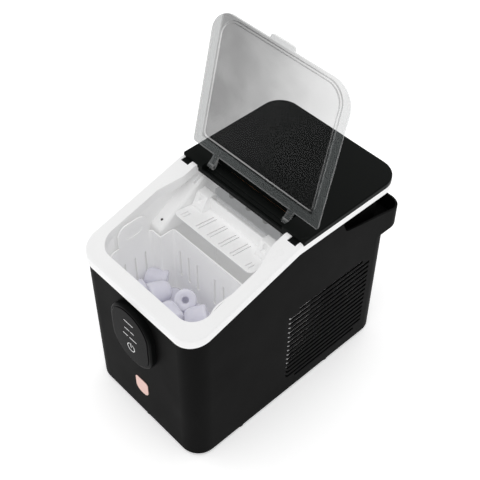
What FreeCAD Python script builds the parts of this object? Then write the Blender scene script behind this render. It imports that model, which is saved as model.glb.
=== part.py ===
import FreeCAD, Part
import math
import os
import re

import Sketcher

# A countertop bullet-ice maker, millimetres, +Z up, front towards -Y, +X to the right of a
# person facing it.  The origin is on the table, under the middle of the whole machine, and the
# lid stands open.  Lengths along Y below are measured from the middle of the housing; SHIFT
# then moves every sub-part so that the carry grip and the control pod share the origin equally.

SIZES = {
    # housing
    "body_width": 222, "body_depth": 364.5, "body_corner": 29, "wall": 2.4, "foot_height": 4,
    "front_rise": 245, "rear_rise": 294.2, "bend_setback": 177, "bottom_rounding": 2,
    # carry grip moulded round the rear of the housing
    "grip_reach": 25, "grip_base": 209, "grip_floor": 3, "grip_wall": 3, "grip_inset": 16,
    "grip_setback": 256, "grip_corner": 25, "grip_high": 270, "grip_low": 238,
    # side louvres
    "vent_pitch": 9.92, "vent_gap": 5, "vent_count": 14, "vent_low": 39, "vent_setback": 172,
    "vent_length": 155, "vent_short_inset": 15, "vent_tail": 5, "vent_border": 3,
    # white top frame
    "rim_overhang": 2.2, "rim_height": 14.4, "band_height": 10.3, "rim_front": 20, "rim_side": 18.2,
    "opening_corner": 27, "opening_waist": 11, "waist_setback": 122, "waist_run": 36,
    "rim_rounding": 3, "chamber_setback": 254,
    # rear cover with its hinge channel
    "cover_thickness": 8.2, "cover_setback": 182, "cover_rounding": 2, "channel_width": 150,
    "channel_depth": 27, "tab_width": 13.5, "tab_length": 8.5, "tab_spacing": 200.5, "tab_gap": 0.3,
    "rail_drop": 6, "rail_floor": 3, "rail_gap": 0.2,
    # lid and its hinge
    "hinge_setback": 12.9, "hinge_drop": 3.7, "pin_radius": 2, "pin_clearance": 0.05,
    "pin_reach": 10, "arm_width": 9, "arm_radius": 4.2, "arm_gap": 1,
    "lid_width": 230, "lid_length": 195.5, "lid_start": 13.5, "lid_corner": 33, "lid_sheet": 2.4,
    "lid_crown": 2.8, "lid_side_border": 14, "lid_front_border": 6.5, "lid_rear_border": 15,
    "lid_seat_gap": 0.3, "lid_open_angle": 118.2, "lid_tab_width": 40, "lid_tab_reach": 7,
    # control pod and badge
    "pod_width": 80, "pod_height": 107, "pod_depth": 10.5, "pod_rise": 185, "pod_rounding": 3,
    "panel_inset": 4.5, "panel_depth": 2.5, "icon_height": 0.2, "badge_width": 26,
    "badge_height": 31, "badge_rise": 67, "badge_thickness": 1,
    # liner, basket compartment and reservoir
    "liner_wall": 2, "reservoir_rise": 34, "reservoir_setback": 222, "shelf_rise": 190,
    "ledge_rise": 115, "ledge_width": 7, "ledge_thickness": 3,
    # ice basket
    "basket_gap": 4, "basket_front_gap": 3.5, "basket_setback": 126, "basket_height": 122,
    "basket_wall": 2, "basket_corner": 22, "slot_pitch": 17.5, "slot_width": 3.4, "slot_length": 48,
    "slot_bulb": 3.3, "slot_drop": 34, "slot_offset": -5, "basket_tab_width": 50,
    "basket_tab_height": 35, "basket_tab_setback": 73, "notch_width": 20, "notch_length": 23,
    # ice sensor housing on the liner's left wall
    "sensor_width": 20, "sensor_low": 228, "sensor_tip_setback": 106, "sensor_back_setback": 190,
    "sensor_tip_height": 14, "sensor_slope_rise": 65,
    # ice module: tray, shovel, evaporator
    "cheek_spacing": 160, "cheek_thickness": 3, "tray_setback": 224.25, "tray_rise": 262,
    "tray_bore": 26.5, "tray_wall": 2, "tray_length": 132, "tray_brim": 4.6, "tray_ear": 6,
    "pivot_radius": 4, "pivot_clearance": 0.05, "shovel_setback": 181.25, "shovel_width": 148,
    "shovel_drop": 7.4,
    "shovel_length": 52, "shovel_slope": 9, "shovel_sheet": 2, "shovel_wall_height": 20,
    "shovel_shaft": 3, "clip_width": 20, "clip_spacing": 122, "finger_pitch": 33,
    "finger_rows": 22, "finger_radius": 4.5, "finger_length": 40, "plate_lift": 30,
    "plate_width": 36, "plate_thickness": 4, "tube_radius": 2.6,
    # machine bay
    "motor_radius": 22, "motor_depth": 10.5, "compressor_radius": 50, "compressor_height": 136,
    "compressor_x": -35, "compressor_setback": 294, "bracket_rise": 14, "bracket_sheet": 2,
    "condenser_depth": 24, "condenser_length": 98, "condenser_height": 160,
    "condenser_setback": 283, "fin_pitch": 5, "fin_sheet": 1, "shroud_depth": 16,
    "fan_radius": 50, "fan_gap": 2, "hub_radius": 16, "fan_motor_length": 22, "fan_motor_radius": 20,
    "fan_shaft_radius": 2.5,
    "pump_radius": 15, "pump_height": 38, "hose_radius": 3.5,
    "float_radius": 9, "float_height": 14, "stem_radius": 2, "float_clearance": 0.4,
    "drain_radius": 8, "drain_plug_radius": 11, "gland_radius": 8, "gland_reach": 9,
    "base_thickness": 3, "foot_radius": 7, "foot_inset": 8, "screw_head_radius": 3.2,
    "screw_shank_radius": 1.5, "board_sheet": 1.6,
}

os.makedirs("parts", exist_ok=True)
doc = FreeCAD.newDocument("IceMaker")
sheet = doc.addObject("Spreadsheet::Sheet", "Sizes")
for row, (alias, number) in enumerate(SIZES.items(), start=1):
    sheet.set(f"A{row}", alias)
    sheet.set(f"B{row}", str(number))
    sheet.setAlias(f"B{row}", alias)
doc.recompute()

ALIASES = re.compile(r"\b(" + "|".join(SIZES) + r")\b")
ORIGIN_PLANES = {"XY": "XY_Plane", "XZ": "XZ_Plane", "YZ": "YZ_Plane"}
SHIFT = "(pod_depth - grip_reach)/2"
SUBPARTS = []


# ---------------------------------------------------------------- expressions and sketches
def bound(text):
    """The expression with every size name pointing at the sheet."""
    return ALIASES.sub(r"Sizes.\1", str(text))


def value(text):
    """The number that an expression gives now."""
    result = sheet.evalExpression(bound(text))
    return float(getattr(result, "Value", result))


def bind(target, path, text):
    target.setExpression(path, bound(text))


def origin_feature(body, role):
    return next(item for item in body.Origin.OriginFeatures if item.Role == role)


def rounded_corner(before, corner, after, radius):
    """Start, end and centre of the arc that rounds one corner."""
    back = (before - corner).normalize()
    ahead = (after - corner).normalize()
    half_angle = back.getAngle(ahead) / 2
    setback = radius / math.tan(half_angle)
    centre = corner + (back + ahead).normalize() * (radius / math.sin(half_angle))
    return corner + back * setback, corner + ahead * setback, centre


def outline(body, plane, corners, lift):
    """A closed profile on an origin plane, raised by lift.

    Each corner is (along, up) or (along, up, rounding); all three are expressions."""
    sketch = body.newObject("Sketcher::SketchObject", "Profile")
    sketch.AttachmentSupport = [(origin_feature(body, ORIGIN_PLANES[plane]), "")]
    sketch.MapMode = "FlatFace"
    bind(sketch, "AttachmentOffset.Base.z", lift)
    points = [FreeCAD.Vector(value(corner[0]), value(corner[1]), 0) for corner in corners]
    ends = []
    for index, corner in enumerate(corners):
        if len(corner) == 2:
            ends.append((points[index], points[index], None))
            continue
        following = points[(index + 1) % len(points)]
        ends.append(rounded_corner(points[index - 1], points[index], following, value(corner[2])))
    lines = []
    for index in range(len(corners)):
        segment = Part.LineSegment(ends[index][1], ends[(index + 1) % len(corners)][0])
        lines.append(sketch.addGeometry(segment))
    driven = []
    for index, corner in enumerate(corners):
        before, after = lines[index - 1], lines[index]
        marker = sketch.addGeometry(Part.Point(points[index]), True)
        for kind, text in (("DistanceX", corner[0]), ("DistanceY", corner[1])):
            constraint = Sketcher.Constraint(kind, -1, 1, marker, 1, value(text))
            driven.append((sketch.addConstraint(constraint), text))
        if len(corner) == 2:
            sketch.addConstraint(Sketcher.Constraint("Coincident", before, 2, marker, 1))
            sketch.addConstraint(Sketcher.Constraint("Coincident", after, 1, marker, 1))
            continue
        start, end, centre = ends[index]
        first = math.atan2(start.y - centre.y, start.x - centre.x)
        last = math.atan2(end.y - centre.y, end.x - centre.x)
        forward = (last - first) % (2 * math.pi) < math.pi
        circle = Part.Circle(centre, FreeCAD.Vector(0, 0, 1), value(corner[2]))
        span = (first, last) if forward else (last, first)
        arc = sketch.addGeometry(Part.ArcOfCircle(circle, *span))
        arc_start, arc_end = (1, 2) if forward else (2, 1)
        sketch.addConstraint(Sketcher.Constraint("Tangent", before, 2, arc, arc_start))
        sketch.addConstraint(Sketcher.Constraint("Tangent", after, 1, arc, arc_end))
        radius = Sketcher.Constraint("Radius", arc, value(corner[2]))
        driven.append((sketch.addConstraint(radius), corner[2]))
        sketch.addConstraint(Sketcher.Constraint("PointOnObject", marker, 1, before))
        sketch.addConstraint(Sketcher.Constraint("PointOnObject", marker, 1, after))
    for number, text in driven:
        if ALIASES.search(str(text)):
            bind(sketch, f"Constraints[{number}]", text)
    return sketch


def ring(body, plane, centre, radius, lift):
    """A circle on an origin plane, raised by lift."""
    sketch = body.newObject("Sketcher::SketchObject", "Ring")
    sketch.AttachmentSupport = [(origin_feature(body, ORIGIN_PLANES[plane]), "")]
    sketch.MapMode = "FlatFace"
    bind(sketch, "AttachmentOffset.Base.z", lift)
    middle = FreeCAD.Vector(value(centre[0]), value(centre[1]), 0)
    circle = Part.Circle(middle, FreeCAD.Vector(0, 0, 1), value(radius))
    edge = sketch.addGeometry(circle)
    for kind, text in (("DistanceX", centre[0]), ("DistanceY", centre[1])):
        number = sketch.addConstraint(Sketcher.Constraint(kind, -1, 1, edge, 3, value(text)))
        bind(sketch, f"Constraints[{number}]", text)
    number = sketch.addConstraint(Sketcher.Constraint("Radius", edge, value(radius)))
    bind(sketch, f"Constraints[{number}]", radius)
    return sketch


# ---------------------------------------------------------------- solids
def new_body(name="Tool"):
    return doc.addObject("PartDesign::Body", name)


def extrude(body, plane, shape, start, end, kind="Pad"):
    """Pad or Pocket between two positions along the plane's own axis (+Z, +Y or +X).

    shape is a list of corners, or (centre, radius) for a circle."""
    if plane == "XZ":
        lift = f"-({end})" if kind == "Pad" else f"-({start})"
    else:
        lift = f"({start})" if kind == "Pad" else f"({end})"
    if isinstance(shape, tuple):
        sketch = ring(body, plane, *shape, lift)
    else:
        sketch = outline(body, plane, shape, lift)
    feature = body.newObject("PartDesign::" + kind, kind)
    feature.Profile = sketch
    bind(feature, "Length", f"({end}) - ({start})")
    body.Tip = feature
    return feature


def prism(plane, shape, start, end, name="Tool"):
    """A body with one pad."""
    body = new_body(name)
    extrude(body, plane, shape, start, end)
    return body


def boolean(kind, name, *operands):
    """Part::Cut (base, tool...), Part::MultiFuse or Part::MultiCommon of other objects."""
    operands = list(operands)
    if kind == "Cut":
        result = doc.addObject("Part::Cut", name)
        result.Base = operands[0]
        tools = operands[1:]
        result.Tool = tools[0] if len(tools) == 1 else boolean("MultiFuse", name + "Tools", *tools)
    else:
        result = doc.addObject("Part::" + kind, name)
        result.Shapes = operands
    return result


def box(x_from, y_from, z_from, length, width, height, name="Block"):
    block = doc.addObject("Part::Box", name)
    bind(block, "Length", length)
    bind(block, "Width", width)
    bind(block, "Height", height)
    for axis, text in zip("xyz", (x_from, y_from, z_from)):
        bind(block, f"Placement.Base.{axis}", text)
    return block


TURNS = {"X": FreeCAD.Rotation(FreeCAD.Vector(0, 1, 0), 90),
         "Y": FreeCAD.Rotation(FreeCAD.Vector(1, 0, 0), -90),
         "Z": FreeCAD.Rotation()}


def cylinder(axis, x_from, y_from, z_from, radius, length, name="Round"):
    """A cylinder that starts at a point and runs along +X, +Y or +Z."""
    rod = doc.addObject("Part::Cylinder", name)
    bind(rod, "Radius", radius)
    bind(rod, "Height", length)
    rod.Placement.Rotation = TURNS[axis]
    for side, text in zip("xyz", (x_from, y_from, z_from)):
        bind(rod, f"Placement.Base.{side}", text)
    return rod


def fillet(body, radius, wanted):
    """Round the edges of the body's tip that wanted(edge) picks."""
    doc.recompute()
    base = body.Tip
    names = [f"Edge{number}" for number, edge in enumerate(base.Shape.Edges, 1) if wanted(edge)]
    feature = body.newObject("PartDesign::Fillet", "Fillet")
    feature.Base = (base, names)
    bind(feature, "Radius", radius)
    body.Tip = feature
    return feature


def repeat(body, feature, role, length, count):
    """A linear pattern of one feature along an origin axis."""
    pattern = body.newObject("PartDesign::LinearPattern", "Repeat")
    pattern.Originals = [feature]
    pattern.Direction = (origin_feature(body, role), [""])
    bind(pattern, "Length", length)
    bind(pattern, "Occurrences", count)
    body.Tip = pattern
    return pattern


def tube(name, route, radius, bend):
    """A round tube along straight runs joined by tangent arcs; the route is in expressions."""
    points = [FreeCAD.Vector(*(value(text) for text in stop)) for stop in route]
    edges = []
    start = points[0]
    for before, corner, after in zip(points, points[1:], points[2:]):
        first, last, centre = rounded_corner(before, corner, after, value(bend))
        middle = centre + (corner - centre).normalize() * value(bend)
        edges.append(Part.LineSegment(start, first).toShape())
        edges.append(Part.Arc(first, middle, last).toShape())
        start = last
    edges.append(Part.LineSegment(start, points[-1]).toShape())
    spine = Part.Wire(edges)
    section = Part.Wire(Part.Circle(points[0], points[1] - points[0], value(radius)).toShape())
    feature = doc.addObject("Part::Feature", name)
    feature.Shape = spine.makePipeShell([section], True, False)
    return feature


def subpart(label, thing, turns=False):
    """Name a finished sub-part; one that doesn't turn moves into the machine's own frame here."""
    thing.Label = label
    SUBPARTS.append(thing)
    if turns:
        return thing
    if thing.TypeId == "Part::Feature":
        thing.Placement.Base.y = value(SHIFT)
    elif thing.TypeId in ("Part::Box", "Part::Cylinder"):
        seat = dict(thing.ExpressionEngine)[".Placement.Base.y"]
        thing.setExpression("Placement.Base.y", f"{seat} + {bound(SHIFT)}")
    else:
        bind(thing, "Placement.Base.y", SHIFT)
    return thing


def plan(x_half, y_from, y_to, front_round, back_round):
    """A rectangle seen from above, symmetric about X, with its own front and back roundings."""
    return [(f"-({x_half})", y_from, front_round), (x_half, y_from, front_round),
            (x_half, y_to, back_round), (f"-({x_half})", y_to, back_round)]


def rectangle(across_from, up_from, across_to, up_to, rounding=None):
    corners = [(across_from, up_from), (across_to, up_from), (across_to, up_to), (across_from, up_to)]
    return [corner + (rounding,) for corner in corners] if rounding else corners


# ---------------------------------------------------------------- shared places
HALF = "body_width/2"
FRONT = "(-body_depth/2)"
BACK = "(body_depth/2)"
RIM_HALF = "(body_width/2 + rim_overhang)"
RIM_FRONT = f"({FRONT} - rim_overhang)"
RIM_BACK = f"({BACK} + rim_overhang)"
BEND = f"({FRONT} + bend_setback)"
FALL = "((rear_rise - front_rise)/(bend_setback + rim_overhang))"
RIM_CORNER = "(body_corner + rim_overhang)"
OPEN_HALF = f"({RIM_HALF} - rim_side)"
OPEN_FRONT = f"({RIM_FRONT} + rim_front)"
OPEN_BACK = f"({FRONT} + chamber_setback)"
COVER_FRONT = f"({FRONT} + cover_setback)"
COVER_LOW = "(rear_rise + band_height)"
COVER_TOP = f"({COVER_LOW} + cover_thickness)"
HINGE_Y = f"({COVER_FRONT} + hinge_setback)"
HINGE_Z = f"({COVER_TOP} - hinge_drop)"
TRAY_Y = f"({FRONT} + tray_setback)"
SHOVEL_Y = f"({FRONT} + shovel_setback)"
PLATE_Z = "(tray_rise + plate_lift)"
BASE_TOP = "(foot_height + base_thickness)"
FAR = "(body_width + body_depth)"


def edge_height(y):
    """Height of the housing's sloping top edge, carried on in both directions."""
    return f"(front_rise + {FALL}*(({y}) - {RIM_FRONT}))"


def side_profile(y_from, y_to, low, drop="0"):
    """Side view from low up to the housing's top edge, lowered by drop."""
    return [(y_from, low), (y_to, low), (y_to, f"rear_rise - ({drop})"),
            (BEND, f"rear_rise - ({drop})"), (y_from, f"{edge_height(y_from)} - ({drop})")]


# ---------------------------------------------------------------- housing
def housing():
    """Front, side and rear panels, the walls stepped in for the carry grip, and the grip."""
    lower = prism("XY", plan(HALF, FRONT, BACK, "body_corner", "body_corner"), "foot_height",
                  "grip_base")
    fillet(lower, "bottom_rounding", lambda edge: edge.BoundBox.ZMax < value("foot_height") + 0.01)
    grip_back = f"({BACK} + grip_reach)"
    grip_front = f"({FRONT} + grip_setback)"
    upper = prism("XY", [(f"-{HALF}", FRONT, "body_corner"), (HALF, FRONT, "body_corner"),
                         (HALF, grip_front), (f"-{HALF}", grip_front)], "grip_base", "rear_rise")
    band = prism("XY", [(f"-{HALF}", grip_front), (HALF, grip_front), (HALF, grip_back, "grip_corner"),
                        (f"-{HALF}", grip_back, "grip_corner")], "grip_base", "rear_rise")
    grip_foot = f"({grip_front} + 11)"
    above_lip = prism("YZ", [(grip_front, "rear_rise + 1"), (grip_foot, "grip_high", 9),
                             (f"{grip_back} + 1", "grip_low"), (f"{grip_back} + 1", "rear_rise + 1")],
                      f"-{FAR}", FAR)
    channel_plan = prism("XY", plan(f"{HALF} - grip_wall", f"{grip_front} - 1",
                                    f"{grip_back} - grip_wall",
                                    6, "grip_corner - grip_wall"), "grip_base + grip_floor",
                                    "rear_rise + 1")
    channel_side = prism("YZ", [(grip_front, "rear_rise + 1"), (grip_foot, "grip_base + grip_floor", 9),
                                (grip_back, "grip_base + grip_floor"), (grip_back, "rear_rise + 1")],
                         f"-{FAR}", FAR)
    channel = boolean("MultiCommon", "Channel", channel_plan, channel_side)
    core = prism("XY", plan(f"{HALF} - grip_inset", "0", BACK, 5, "body_corner"), "grip_base",
                 "rear_rise")
    inside = prism("XY", plan(f"{HALF} - grip_inset", "0", BACK, 5, "body_corner"), "grip_base - 1",
                   "rear_rise + 1")
    subpart("carry_grip", boolean("Cut", "Grip", band, above_lip, channel, inside))
    solid = boolean("MultiFuse", "Solid", lower, upper, core)
    low_room = prism("XY", plan(f"{HALF} - wall", f"{FRONT} + wall", f"{BACK} - wall",
                                "body_corner - wall", "body_corner - wall"), "foot_height - 1",
                                "grip_base")
    waist = f"({grip_front} - wall)"
    narrow = f"({HALF} - grip_inset - wall)"
    high_room = prism("XY", [
        (f"-({HALF} - wall)", f"{FRONT} + wall", "body_corner - wall"),
        (f"{HALF} - wall", f"{FRONT} + wall", "body_corner - wall"),
        (f"{HALF} - wall", waist), (narrow, waist), (narrow, f"{BACK} - wall", "body_corner - wall"),
        (f"-{narrow}", f"{BACK} - wall", "body_corner - wall"), (f"-{narrow}", waist),
        (f"-({HALF} - wall)", waist)], "grip_base - 1", "rear_rise + 1")
    over = prism("YZ", [(f"{FRONT} - 20", edge_height(f"{FRONT} - 20")), (BEND, "rear_rise"),
                        (BEND, "rear_rise + 60"), (f"{FRONT} - 20", "rear_rise + 60")], f"-{FAR}", FAR)
    gland_hole = cylinder("Y", GLAND_X, f"{BACK} - wall - 1", GLAND_Z, "gland_radius - 2", "wall + 2")
    drain_hole = cylinder("X", f"-({HALF} + 1)", DRAIN_Y, DRAIN_Z, "drain_radius", "wall + 2")
    window = grille_block(f"-({HALF} + 1)", "body_width + 2")
    shell = boolean("Cut", "Shell", solid, low_room, high_room, over, window, gland_hole, drain_hole)
    front_seam = f"({FRONT} + body_corner + 1)"
    side_length = "body_depth - 2*body_corner - 2"
    front = box(f"-{FAR}", f"{FRONT} - 1", 0, f"2*{FAR}", "body_corner + 2", "2*rear_rise")
    left = box(f"-{FAR}", front_seam, 0, f"{FAR} - {HALF} + wall", side_length, "2*rear_rise")
    right = box(f"{HALF} - wall", front_seam, 0, f"{FAR} - {HALF} + wall", side_length, "2*rear_rise")
    subpart("front_panel", boolean("MultiCommon", "Front", shell, front))
    subpart("left_side_panel", boolean("MultiCommon", "LeftSide", shell, left))
    subpart("right_side_panel", boolean("MultiCommon", "RightSide", shell, right))
    rear = box(f"-{FAR}", f"{BACK} - body_corner - 1", 0, f"2*{FAR}", "body_corner + 2", "2*rear_rise")
    subpart("rear_panel", boolean("MultiCommon", "Rear", shell, rear))
    for label, start in (("left_grip_wall", f"-({HALF} - wall)"), ("right_grip_wall", "0")):
        middle = box(start, front_seam, 0, f"{HALF} - wall", side_length, "2*rear_rise")
        subpart(label, boolean("MultiCommon", "GripWall", shell, middle))
    slots = louvres()
    for label, start in (("left_vent_grille", f"-{HALF}"), ("right_vent_grille", f"{HALF} - wall")):
        subpart(label, boolean("Cut", "Grille", grille_block(start, "wall"), slots))


GLAND_X = "(body_width/2 - 41)"
GLAND_Z = "(foot_height + 26)"


def louvres():
    """Slots through both side walls: equal long ones between two shorter ones."""
    start = f"({FRONT} + vent_setback)"
    end = f"({start} + vent_length)"
    body = new_body("Louvres")
    half_gap = "vent_gap/2"
    long_slot = [(f"{start} - vent_tail", "vent_low + vent_tail"),
                 (start, f"vent_low - {half_gap}"), (end, f"vent_low - {half_gap}"),
                 (end, f"vent_low + {half_gap}"), (f"{start} + 1", f"vent_low + {half_gap}"),
                 (f"{start} - vent_tail + 1.5", "vent_low + vent_tail + 0.9")]
    first = extrude(body, "YZ", long_slot, f"-({HALF} + 1)", f"{HALF} + 1")
    repeat(body, first, "Z_Axis", "vent_pitch*(vent_count - 1)", "vent_count")
    short_from = f"{start} + vent_short_inset"
    short_to = f"{end} - vent_short_inset"
    for middle in ("(vent_low - vent_pitch)", "(vent_low + vent_pitch*vent_count)"):
        slot = rectangle(short_from, f"{middle} - {half_gap}", short_to, f"{middle} + {half_gap}")
        extrude(body, "YZ", slot, f"-({HALF} + 1)", f"{HALF} + 1")
    return body


def grille_block(start, thickness):
    """The rectangle of wall that holds one side's louvres."""
    low = "(vent_low - vent_pitch - vent_gap/2 - vent_border)"
    near = f"({FRONT} + vent_setback - vent_tail - vent_border)"
    return box(start, near, low, thickness, "vent_length + vent_tail + 2*vent_border",
               "vent_pitch*(vent_count + 1) + vent_gap + 2*vent_border")


def base():
    plate = new_body("BasePlate")
    inset = "(wall + tab_gap)"
    extrude(plate, "XY", plan(f"{HALF} - {inset}", f"{FRONT} + {inset}", f"{BACK} - {inset}",
                              f"body_corner - {inset}", f"body_corner - {inset}"), "foot_height",
                              BASE_TOP)
    for x, y in SCREW_PLACES:
        extrude(plate, "XY", ((x, y), "screw_shank_radius"), "foot_height", BASE_TOP, "Pocket")
    subpart("base_plate", plate)
    pads = [cylinder("Z", x, y, 0, "foot_radius", "foot_height") for x, y in FOOT_PLACES]
    subpart("rubber_feet", boolean("MultiFuse", "Feet", *pads))
    heads = []
    for x, y in SCREW_PLACES:
        heads.append(cylinder("Z", x, y, "foot_height - 1.6", "screw_head_radius", 1.6))
        heads.append(cylinder("Z", x, y, "foot_height - 1.6", "screw_shank_radius", 9))
    subpart("base_screws", boolean("MultiFuse", "Screws", *heads))


FOOT_X = "(body_width/2 - foot_inset)"
FOOT_PLACES = [(f"-{FOOT_X}", -97), (FOOT_X, -97), (f"-{FOOT_X}", 74), (FOOT_X, 74),
               (4, f"{FRONT} + foot_inset")]
SCREW_X = "(body_width/2 - 22)"
SCREW_PLACES = [(f"{side}{SCREW_X}", y) for side in ("-", "")
                for y in (f"{FRONT} + 30", "0", f"{BACK} - 30")]
DRAIN_Y = f"({FRONT} + 70)"
DRAIN_Z = "(reservoir_rise + liner_wall + drain_radius - 1)"


# ---------------------------------------------------------------- top frame and cover
def opening(grow):
    """The frame's opening from above, made larger all round by grow."""
    wide = f"({OPEN_HALF} + {grow})"
    slim = f"({OPEN_HALF} - opening_waist + {grow})"
    first = f"({FRONT} + waist_setback)"
    last = f"({first} + waist_run)"
    near = f"({OPEN_FRONT} - {grow})"
    far = f"({OPEN_BACK} + {grow})"
    return [(f"-{wide}", near, f"opening_corner + {grow}"), (wide, near, f"opening_corner + {grow}"),
            (wide, first, 14), (slim, last, 14), (slim, far, 6), (f"-{slim}", far, 6),
            (f"-{slim}", last, 14), (f"-{wide}", first, 14)]


def frame_top(drop="0"):
    """Side view of everything under the frame's top surface, lowered by drop."""
    near = f"({RIM_FRONT} - 5)"
    height = f"(rim_height - ({drop}))"
    return [(near, 0), (f"{RIM_BACK} + 5", 0), (f"{RIM_BACK} + 5", f"{COVER_LOW} - ({drop})"),
            (f"{COVER_FRONT} + ({drop})", f"{COVER_LOW} - ({drop})"),
            (f"{COVER_FRONT} + ({drop})", f"rear_rise + {height}"), (BEND, f"rear_rise + {height}"),
            (near, f"{edge_height(near)} + {height}")]


def top_frame():
    reach = "rear_rise + rim_height + 1"
    slab = prism("XY", plan(RIM_HALF, RIM_FRONT, RIM_BACK, RIM_CORNER, RIM_CORNER), "front_rise - 5",
                 reach)
    roof = prism("YZ", frame_top(), f"-{RIM_HALF} - 5", f"{RIM_HALF} + 5")
    under = prism("YZ", side_profile(f"{RIM_FRONT} - 5", f"{RIM_BACK} + 5", "0"), f"-{FAR}", FAR)
    wedge = boolean("MultiCommon", "Wedge", slab, roof)
    blank = boolean("Cut", "FrameBlank", wedge, under)
    doc.recompute()
    rounded = doc.addObject("Part::Fillet", "FrameRounded")
    rounded.Base = blank
    picked = [number for number, edge in enumerate(blank.Shape.Edges, 1) if on_rim_top(edge)]
    radius = value("rim_rounding")
    rounded.Edges = [(number, radius, radius) for number in picked]
    hollow_plan = new_body("HollowPlan")
    extrude(hollow_plan, "XY", plan(f"{RIM_HALF} - wall", f"{RIM_FRONT} + wall", f"{RIM_BACK} - wall",
                                    f"{RIM_CORNER} - wall", f"{RIM_CORNER} - wall"),
            "front_rise - 10", reach)
    extrude(hollow_plan, "XY", opening("wall"), "front_rise - 10", reach, "Pocket")
    hollow_side = prism("YZ", frame_top("wall"), f"-{RIM_HALF}", RIM_HALF)
    hollow = boolean("MultiCommon", "FrameHollow", hollow_plan, hollow_side)
    through = prism("XY", opening("0"), "front_rise - 10", reach)
    notches = []
    for side in (-1, 1):
        notches.append(box(f"{side}*tab_spacing/2 - tab_width/2 - tab_gap",
                           f"{COVER_FRONT} - tab_length - tab_gap",
                           f"{COVER_LOW} - tab_gap", "tab_width + 2*tab_gap", "tab_length + 2*tab_gap",
                           20))
    pipe_gap = box(-62, f"{OPEN_BACK} - 1", "rear_rise - 1", f"{HALF} - 1", "wall + 2", 9)
    subpart("top_frame", boolean("Cut", "Frame", rounded, hollow, through, pipe_gap, *notches))


def on_rim_top(edge):
    """Outer top edges of the frame in front of the cover."""
    limits = edge.BoundBox
    outside = max(abs(limits.XMin), abs(limits.XMax)) > value(f"{RIM_HALF} - {RIM_CORNER} - 1")
    middle = edge.valueAt((edge.FirstParameter + edge.LastParameter) / 2)
    height = value(f"front_rise + rim_height - {FALL}*({RIM_FRONT})") + value(FALL) * middle.y
    roof = min(height, value("rear_rise + rim_height"))
    level = limits.ZMin > value("front_rise + rim_height - 1")
    return outside and level and abs(middle.z - roof) < 0.05 and limits.YMax < value(COVER_FRONT) + 0.01 \
        and not (abs(limits.YMin - limits.YMax) < 0.01 and limits.YMin > value(RIM_FRONT) + 1)


def top_cover():
    body = new_body("Cover")
    extrude(body, "XY", plan(RIM_HALF, COVER_FRONT, RIM_BACK, 3, RIM_CORNER), COVER_LOW, COVER_TOP)
    fillet(body, "cover_rounding", lambda edge: edge.BoundBox.ZMin > value(COVER_TOP) - 0.01)
    inner = f"({COVER_FRONT} + channel_depth + wall)"
    extrude(body, "XY", plan(f"{RIM_HALF} - wall", inner, f"{RIM_BACK} - wall", 3,
                             f"{RIM_CORNER} - wall"),
            f"{COVER_LOW} - 1", f"{COVER_TOP} - wall", "Pocket")
    notch = f"({COVER_FRONT} + channel_depth)"
    half = "channel_width/2"
    extrude(body, "XY", rectangle(f"-{half}", f"{COVER_FRONT} - 1", half, notch),
            f"{COVER_LOW} - 1", f"{COVER_TOP} + 1", "Pocket")
    holders = []
    rail_low = f"({COVER_LOW} - rail_drop)"
    for side in ("-", ""):
        holder = f"-({half} + 8)" if side else half
        holders.append(box(holder, f"{COVER_FRONT} + 0.5", rail_low, 8, "channel_depth - 1",
                           "rail_drop + 1"))
    for side in (-1, 1):
        holders.append(box(f"{side}*tab_spacing/2 - tab_width/2", f"{COVER_FRONT} - tab_length",
                           COVER_LOW, "tab_width", "tab_length + 4", "rim_height - band_height - 1"))
    bores = []
    for start in (f"-({half} + pin_reach + 1)", f"{half} - 1"):
        bores.append(cylinder("X", start, HINGE_Y, HINGE_Z, "pin_radius + pin_clearance",
                              "pin_reach + 2"))
    whole = boolean("MultiFuse", "CoverWhole", body, *holders)
    subpart("top_cover", boolean("Cut", "CoverBored", whole, *bores))


def hinge_rail():
    """The ridged strip between the hinge blocks."""
    near = f"({COVER_FRONT} + rail_gap)"
    far = f"({COVER_FRONT} + channel_depth - rail_gap)"
    low = f"({COVER_LOW} - rail_drop + 0.5)"
    top = f"({low} + rail_floor)"
    corners = [(near, low), (far, low), (far, f"{top} + 2.6"), (f"{far} - 2", f"{top} + 2.6"),
               (f"{far} - 2", top)]
    for ridge in (f"({near} + 14)", f"({near} + 7)"):
        corners += [(f"{ridge} + 1.2", top), (f"{ridge} + 0.6", f"{top} + 1.4"),
                    (f"{ridge} - 0.6", f"{top} + 1.4"), (f"{ridge} - 1.2", top)]
    corners += [(f"{near} + 2", top), (f"{near} + 2", f"{top} + 4.2"), (near, f"{top} + 4.2")]
    subpart("hinge_rail", prism("YZ", corners, "-(channel_width/2)", "channel_width/2", "Rail"))


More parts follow.
